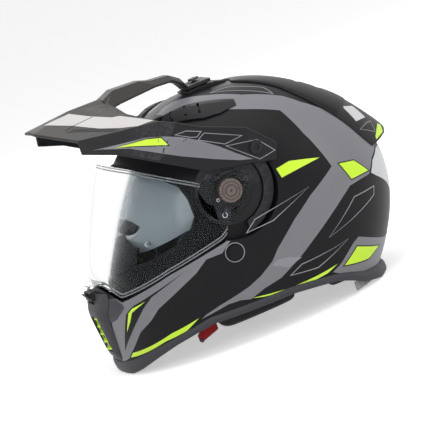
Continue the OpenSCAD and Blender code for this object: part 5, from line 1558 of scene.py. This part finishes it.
# Painted markings.
# Corner points of each marking on the left side, on or near the skin.
SWOOSH = [
    (12, -48, 240), (6.4, -38.8, 244.2), (18.5, -22.6, 247.6), (43.4, 5.3, 243.7), (62, 35.1, 232.9),
    (68.5, 73.7, 216.5), (74.5, 88.2, 204.2), (74.5, 114.9, 181.9), (73.1, 129.8, 164.4),
    (68.5, 145.3, 139.6), (63.1, 151.6, 129.8), (82.8, 137.5, 122.2), (94.1, 125.5, 109.7),
    (104.2, 110.4, 109.8), (111.6, 96.1, 109.3), (117, 82, 101.8), (122.5, 61.6, 90.1),
    (126.1, 36.1, 75.7), (126.9, 17.7, 65.1), (125.9, -10.7, 51.6), (124.7, -30.5, 48.2),
    (122.1, -48.2, 42.7), (121, -58.4, 45.7), (118.3, -71.5, 46.3), (113.4, -87.4, 43.3),
    (108.1, -100.7, 41), (110.8, -94.9, 43.9), (116.5, -79.5, 48.3), (124.2, -46.2, 55.7),
    (126.4, -30.4, 62), (128.1, -14.4, 71.5), (129, -5, 81.3), (129, 21.8, 102.2),
    (125.9, 47.9, 118.6), (116.9, 79, 133.7), (114.9, 83.7, 136.2), (112.6, 78.1, 155.4),
    (106.6, 69.8, 177.6), (98.2, 64.7, 193.9), (89, 59.7, 206.6), (83.5, 26.9, 220.7),
    (68.9, -10.7, 232.7), (38.8, -42.1, 238.8)]
# Corners of a painted highlight inside the grey swoosh, standing in for the light a crease catches there.
SWOOSH_HIGHLIGHT = [(128, -9, 71), (127.7, 4.5, 68.3), (126.6, 16.9, 63.1), (126.8, -0.1, 58.7), (127.5, -15.8, 67.5)]
TRAPEZOID = [(39.7, 9.2, 244.5), (37.3, 30.5, 242.7), (50.6, 62.4, 230), (64.8, 65.8, 222.2)]
NEON_SIDE = [(123.8, 24.1, 157.7), (121.3, 40.4, 159.5), (115.6, 74.3, 149.6), (126, 26, 147.3)]
NEON_BACK = [(111.1, 93.2, 135), (101.7, 112.1, 130.5), (93.8, 125.8, 113.4), (109.3, 100.8, 114.7)]
NEON_LOW = [(114.3, 60.6, 34.7), (109.4, 81.8, 46.8), (83.8, 111.8, 33.4), (95.9, 93.3, 27.5)]
STRIPE = [
    (122.4, -46.9, 43.4), (123.8, -4.9, 37.9), (121.7, 29.8, 38.1), (117.8, 52.8, 39.9),
    (119.9, 39.1, 35.4), (123.2, 2.3, 34.3), (123.1, -35.5, 40.2)]
GREY_LOW = [
    (74.1, 123.2, 37.6), (109.2, 86.8, 55.7), (112, 78.9, 52.7), (114.4, 68.4, 45.8),
    (116.1, 58.1, 38.8), (118.6, 45.3, 33.5), (103.6, 74.9, 16), (70, 104, 8), (40, 125, 8), (40, 140, 37)]
KITE = [(92.4, 126.5, 95.6), (94.2, 122.8, 87.6), (122.7, 52.6, 69.9), (110.8, 96.6, 96.6)]
LEAF_UP = [(125.2, 49.6, 127.4), (129.8, -16.7, 119.1), (129.1, -30.1, 109.3), (130, 0.6, 110.5)]
LEAF_LOW = [(115.3, 73.7, 59.2), (126, 14.5, 56.1), (125.7, -0.8, 49.8), (123, 30.7, 45.5)]
CHIN_STRIPE = [
    (37.7, -169, 18.5), (45, -166.6, 23.7), (90.2, -131, 36), (107.3, -102.7, 43), (98.8, -117.2, 34),
    (83.3, -138.7, 29.1)]
CHIN_ARROW = [
    (83.5, -144.2, 76), (69, -156.5, 71.7), (62.9, -160.4, 67.5), (50.5, -166.1, 47.2),
    (60.8, -161.3, 58.3), (67.4, -157.5, 67.6)]
CHIN_GREY = [
    (128.9, -25.7, 130), (129.4, -14, 129), (129.4, -19, 126.2), (126.9, -48.3, 107.9), (124.7, -60.4, 99),
    (120.4, -77.1, 98.7), (115.9, -91.2, 88.6), (108.7, -108.3, 79.9), (90.7, -135.2, 64.9),
    (81.7, -144.3, 55.1), (66.2, -156.6, 44.5), (54, -163.1, 32.4), (33.7, -170.1, 17.3), (14, -174, 12),
    (17, -174.5, 30), (22, -175, 39.9), (31.3, -173.4, 60.2), (40, -170, 76), (50, -167, 84),
    (74, -153, 92), (100.9, -121, 98), (112.4, -98.4, 104), (120.9, -74.9, 112), (125.4, -56, 119),
    (128, -38.4, 127)]
CHIN_WEDGE = [
    (112.2, -99.5, 94.5), (71.5, -154.7, 74.3), (59.2, -162.6, 66.3), (32, -171, 26), (48.1, -166.6, 38.7),
    (79.6, -147.6, 69.2), (89.9, -137.4, 79)]
CHIN_FLANK = [
    (27, -174.5, 58), (44, -170.5, 62), (61.7, -164.4, 73.1), (61.2, -164.8, 77.8), (52, -167, 85),
    (36, -171.5, 85)]
NEON_RIM = 1.0 / 130  # one millimetre at the usual reach from the middle of the shell
BACK_WHITE = [
    (0, 172, 128), (40, 166, 126), (63.1, 151.6, 127), (82.8, 137.5, 119.4), (91, 129, 109.5),
    (86.5, 134.2, 104.5), (67.2, 149.2, 90.2), (49.8, 155.3, 76.2), (0, 165, 74)]


class Plane:
    """Gnomonic drawing plane around the middle of a marking."""

    def __init__(self, points):
        d = np.asarray(points, float) - MIDDLE
        d /= np.linalg.norm(d, axis=1, keepdims=True)
        self.axis = d.mean(0) / np.linalg.norm(d.mean(0))
        self.u = np.cross([0, 0, 1.0], self.axis)
        self.u /= np.linalg.norm(self.u)
        self.v = np.cross(self.axis, self.u)
        self.reach = float(np.linalg.norm(np.asarray(points, float) - MIDDLE, axis=1).mean())

    def flat(self, points):
        d = np.asarray(points, float) - MIDDLE
        w = np.maximum(d @ self.axis, 0.2 * np.linalg.norm(d, axis=1))
        return np.column_stack([d @ self.u / w, d @ self.v / w])

    def on_skin(self, q):
        return cast(self.axis + q[:, :1] * self.u + q[:, 1:] * self.v)

    def surface(self, q):
        """Points of the skin and their normals."""
        points = self.on_skin(q)
        return points, skin_normal(points)


def inside(q, outline):
    a, b = outline, np.roll(outline, -1, 0)
    x, y = q[:, 0][:, None], q[:, 1][:, None]
    cross = (a[:, 1] > y) != (b[:, 1] > y)
    with np.errstate(divide="ignore", invalid="ignore"):
        edge = (b[:, 0] - a[:, 0]) * (y - a[:, 1]) / (b[:, 1] - a[:, 1]) + a[:, 0]
    return (np.sum(cross & (x < edge), 1) % 2) == 1


def edge_distance(q, outline):
    a, b = outline, np.roll(outline, -1, 0)
    ab = b - a
    t = np.clip(np.sum((q[:, None] - a) * ab, 2) / np.maximum(np.sum(ab * ab, 1), 1e-12), 0, 1)
    return np.linalg.norm(q[:, None] - (a + t[..., None] * ab), axis=2).min(1)


def stepped(outline, step):
    out = []
    for a, b in zip(outline, np.roll(outline, -1, 0)):
        n = max(1, int(math.ceil(np.linalg.norm(b - a) / step)))
        out += [a + (b - a) * k / n for k in range(n)]
    return np.array(out)


def paint_patch(plane, outline, cutouts, step_mm, lift):
    """Thin closed patch over the skin inside an outline and outside its cutouts."""
    step = step_mm / plane.reach
    loops = [stepped(outline, step)] + [stepped(c, step) for c in cutouts]
    low, high = outline.min(0), outline.max(0)
    gx, gy = np.meshgrid(np.arange(low[0], high[0], step), np.arange(low[1], high[1], step))
    gx = gx + (np.arange(gx.shape[0]) % 2)[:, None] * step / 2
    grid = np.column_stack([gx.ravel(), gy.ravel()])
    if len(grid):
        keep = inside(grid, outline)
        for loop in loops:
            keep &= edge_distance(grid, loop) > step * 0.45
        grid = grid[keep]
    points, edges = [], []
    for loop in loops:
        base = len(points)
        points += loop.tolist()
        edges += [(base + i, base + (i + 1) % len(loop)) for i in range(len(loop))]
    points += grid.tolist()
    made = geometry.delaunay_2d_cdt([Vector(p) for p in points], edges, [], 0, 1e-7)
    q = np.array([tuple(v) for v in made[0]])
    tris = np.array([f for f in made[2]])
    centre = q[tris].mean(1)
    keep = inside(centre, outline)
    for c in cutouts:
        keep &= ~inside(centre, c)
    tris = tris[keep]
    a, b, c = q[tris[:, 0]], q[tris[:, 1]], q[tris[:, 2]]
    turn = (b[:, 0] - a[:, 0]) * (c[:, 1] - a[:, 1]) - (b[:, 1] - a[:, 1]) * (c[:, 0] - a[:, 0])
    tris = tris[np.abs(turn) > 1e-12]
    turn = turn[np.abs(turn) > 1e-12]
    tris[turn < 0] = tris[turn < 0][:, ::-1]
    used, tris = np.unique(tris, return_inverse=True)
    tris = tris.reshape(-1, 3)
    base, normal = plane.surface(q[used])
    n = len(base)
    directed = np.concatenate([tris[:, [0, 1]], tris[:, [1, 2]], tris[:, [2, 0]]])
    seen = set(map(tuple, directed.tolist()))
    rim = [(a, b) for a, b in seen if (b, a) not in seen]
    faces = tris.tolist() + (tris[:, ::-1] + n).tolist() + [(b, a, n + a, n + b) for a, b in rim]
    return np.concatenate([base + normal * lift, base - normal * 0.12]), faces


def skin_loop(y, z, r, n=72):
    c = circle(y, z, r, n)
    return side_skin(c[:, 0], c[:, 1])


def pocket_loop():
    o = shield_outline(POCKET_GAP)
    step = stepped(o[o[:, 0] > -FAR], 6)
    p = side_skin(step[:, 0], step[:, 1])
    p[:, 0] = np.maximum(p[:, 0], 0.0)
    return p


def marking(name, corners, finish, cutouts=(), line=None, lift=0.14, step=3.2):
    """A painted patch, or with line a painted outline of that width, on both sides."""
    plane = Plane(corners)
    outline = fixed_turn(plane.flat(corners))
    holes = [plane.flat(c) for c in cutouts]
    if line:
        half = line / 2 / plane.reach
        outer, inner = grown(outline, half), grown(outline, -half)
        pts, faces = paint_patch(plane, outer, [inner] + holes, step, lift)
    else:
        pts, faces = paint_patch(plane, outline, holes, step, lift)
    piece = make_piece(name, *both_sides((pts, faces)), FINISH[finish], 40)
    finish_shading(piece, skin_normal, 40, 0.97)
    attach(piece, "helmet")
    return piece


def paint_markings():
    recess = skin_loop(PIVOT_Y, PIVOT_Z, RECESS_R + 0.7)
    pocket = pocket_loop()
    cap = skin_loop(RIVET_Y, RIVET_Z, RIVET_CAP_R + 0.5, 48)
    marking("swoosh_grey", SWOOSH, "swoosh", [recess])
    # Painted highlight: a lighter patch inside the grey swoosh.
    marking("swoosh_painted_highlight", SWOOSH_HIGHLIGHT, "swoosh_highlight", lift=0.2)
    marking("chin_grey", CHIN_GREY, "swoosh", [recess, pocket, cap])
    marking("chin_wedge", CHIN_WEDGE, "shell", [pocket], lift=0.2)
    marking("chin_flank", CHIN_FLANK, "panel", [pocket], lift=0.3)
    marking("back_white", BACK_WHITE, "white")
    marking("low_grey", GREY_LOW, "swoosh")
    for name, corners in (("neon_side", NEON_SIDE), ("neon_back", NEON_BACK), ("neon_low", NEON_LOW),
                          ("neon_stripe", STRIPE), ("neon_chin_stripe", CHIN_STRIPE),
                          ("neon_chin_arrow", CHIN_ARROW)):
        plane = Plane(corners)
        rim = plane.on_skin(grown(fixed_turn(plane.flat(corners)), NEON_RIM))
        marking(name + "_edge", rim, "shell", lift=0.2)
        marking(name, corners, "neon", lift=0.27)
    for name, corners in (("trapezoid_line", TRAPEZOID), ("kite_line", KITE), ("leaf_up_line", LEAF_UP),
                          ("leaf_low_line", LEAF_LOW)):
        marking(name, corners, "line", line=0.9, lift=0.2)
    ring = skin_loop(RIVET_Y, RIVET_Z, RIVET_CAP_R + 1.6, 60)
    marking("rivet_ring_line", ring, "line", line=0.8, lift=0.25)


# Camera, floor and lights.
YAW, LIFT, PITCH = math.radians(17), math.radians(4), math.radians(21)
FRAME_PX, SENSOR = 430, 36.0
SCALE = 1.05  # millimetres to one pixel of the frame
ANCHOR = (116.5, 374.7)  # pixel of the chin's lowest point
CHIN_FOOT = (0.0, MID_Y - 176.6, 0.0)
AIM_DEPTH, DISTANCE = 60.0, 3000.0
FLOOR_HALF, FLOOR_DROP = 20000, 0.0006


def from_worn(v):
    """A direction given with the helmet level on a head, turned into the rest frame."""
    x, y, z = v
    return Vector((x, y * math.cos(PITCH) + z * math.sin(PITCH), -y * math.sin(PITCH) + z * math.cos(PITCH)))


def set_camera():
    right = from_worn((math.sin(YAW), math.cos(YAW), 0))
    up = from_worn((-math.cos(YAW) * math.sin(LIFT), math.sin(YAW) * math.sin(LIFT), math.cos(LIFT)))
    back = right.cross(up)
    across, rise = (FRAME_PX / 2 - ANCHOR[0]) * SCALE, (ANCHOR[1] - FRAME_PX / 2) * SCALE
    target = Vector(CHIN_FOOT) + right * across + up * rise
    target += back * (AIM_DEPTH - target.dot(back))
    camera = bpy.data.cameras.new("photo_camera")
    camera.sensor_width = SENSOR
    camera.lens = SENSOR * DISTANCE / (FRAME_PX * SCALE)
    camera.clip_end = 50
    eye = bpy.data.objects.new("photo_camera", camera)
    place = (target + back * DISTANCE) * MM
    eye.matrix_world = Matrix.Translation(place) @ Matrix((right, up, back)).transposed().to_4x4()
    bpy.context.scene.collection.objects.link(eye)
    bpy.context.scene.camera = eye


def seen_rays(net, strength):
    """The strength for camera, mirror and glass rays, and 0 for others."""
    path = net.add("ShaderNodeLightPath")
    seen = net.math("MAXIMUM", path.outputs["Is Camera Ray"], path.outputs["Is Glossy Ray"])
    seen = net.math("MAXIMUM", seen, path.outputs["Is Transmission Ray"])
    return net.math("MULTIPLY", seen, strength)


def white_to_camera(net, base_shader, strength):
    """Adds a white glow to a shader for camera, mirror and glass rays only."""
    glow = net.add("ShaderNodeEmission", {"Color": (1, 1, 1, 1), "Strength": seen_rays(net, strength)})
    both = net.add("ShaderNodeAddShader")
    net.tree.links.new(base_shader, both.inputs[0])
    net.tree.links.new(glow.outputs[0], both.inputs[1])
    return both.outputs[0]


def build_stage():
    corners = [(x * FLOOR_HALF, y * FLOOR_HALF, 0) for x, y in ((-1, -1), (1, -1), (1, 1), (-1, 1))]
    floor = make_piece("floor", corners, [(0, 1, 2, 3)], None)
    floor.location.z = -FLOOR_DROP
    material, net, shader = blank_material("studio floor")
    net.fill(shader, {"Base Color": (0.9, 0.9, 0.9, 1), "Roughness": 1.0, "Specular IOR Level": 0.0})
    sink = [n for n in net.tree.nodes if n.type == "OUTPUT_MATERIAL"][0]
    net.tree.links.new(white_to_camera(net, shader.outputs[0], 0.5), sink.inputs[0])
    floor.data.materials.append(material)
    bpy.context.scene.view_settings.view_transform = "Standard"
    world = bpy.data.worlds.new("studio")
    world.use_nodes = True
    bpy.context.scene.world = world
    net = Net(world.node_tree)
    back = world.node_tree.nodes["Background"]
    net.tree.links.new(net.math("ADD", seen_rays(net, 0.55), 0.45), back.inputs["Strength"])
    back.inputs["Color"].default_value = (1, 1, 1, 1)


def add_lamp(name, place, aim, size, power):
    lamp = bpy.data.lights.new(name, "AREA")
    lamp.shape, lamp.size, lamp.size_y, lamp.energy = "RECTANGLE", size[0], size[1], power
    holder = bpy.data.objects.new(name, lamp)
    holder.location = place
    holder.rotation_euler = (Vector(aim) - Vector(place)).to_track_quat("-Z", "Y").to_euler()
    bpy.context.scene.collection.objects.link(holder)


def light_studio():
    aim = (0, 0, 0.13)
    add_lamp("overhead_softbox", (0.4, 0.2, 1.7), aim, (1.6, 1.6), 13)
    add_lamp("key_softbox", (1.5, -1.1, 1.0), aim, (0.9, 0.9), 8)
    add_lamp("rear_softbox", (1.1, 1.6, 0.9), aim, (0.8, 1.2), 5)
    add_lamp("far_fill", (-1.6, 0.2, 0.9), aim, (1.2, 1.2), 5)


set_camera()
build_stage()
light_studio()
dress_nodes()
build_shell()
build_rim_trim()
build_gasket()
build_shield()
build_knobs()
build_ear_marks()
build_sun_visor()
build_scoops()
spoiler = build_spoiler()
build_chin_panel()
build_fins()
peak = build_peak()
build_pads()
build_chin_curtain()
build_straps()
build_release_tabs()
build_neck_tab()
paint_markings()
paint_peak(peak)
paint_spoiler(spoiler)
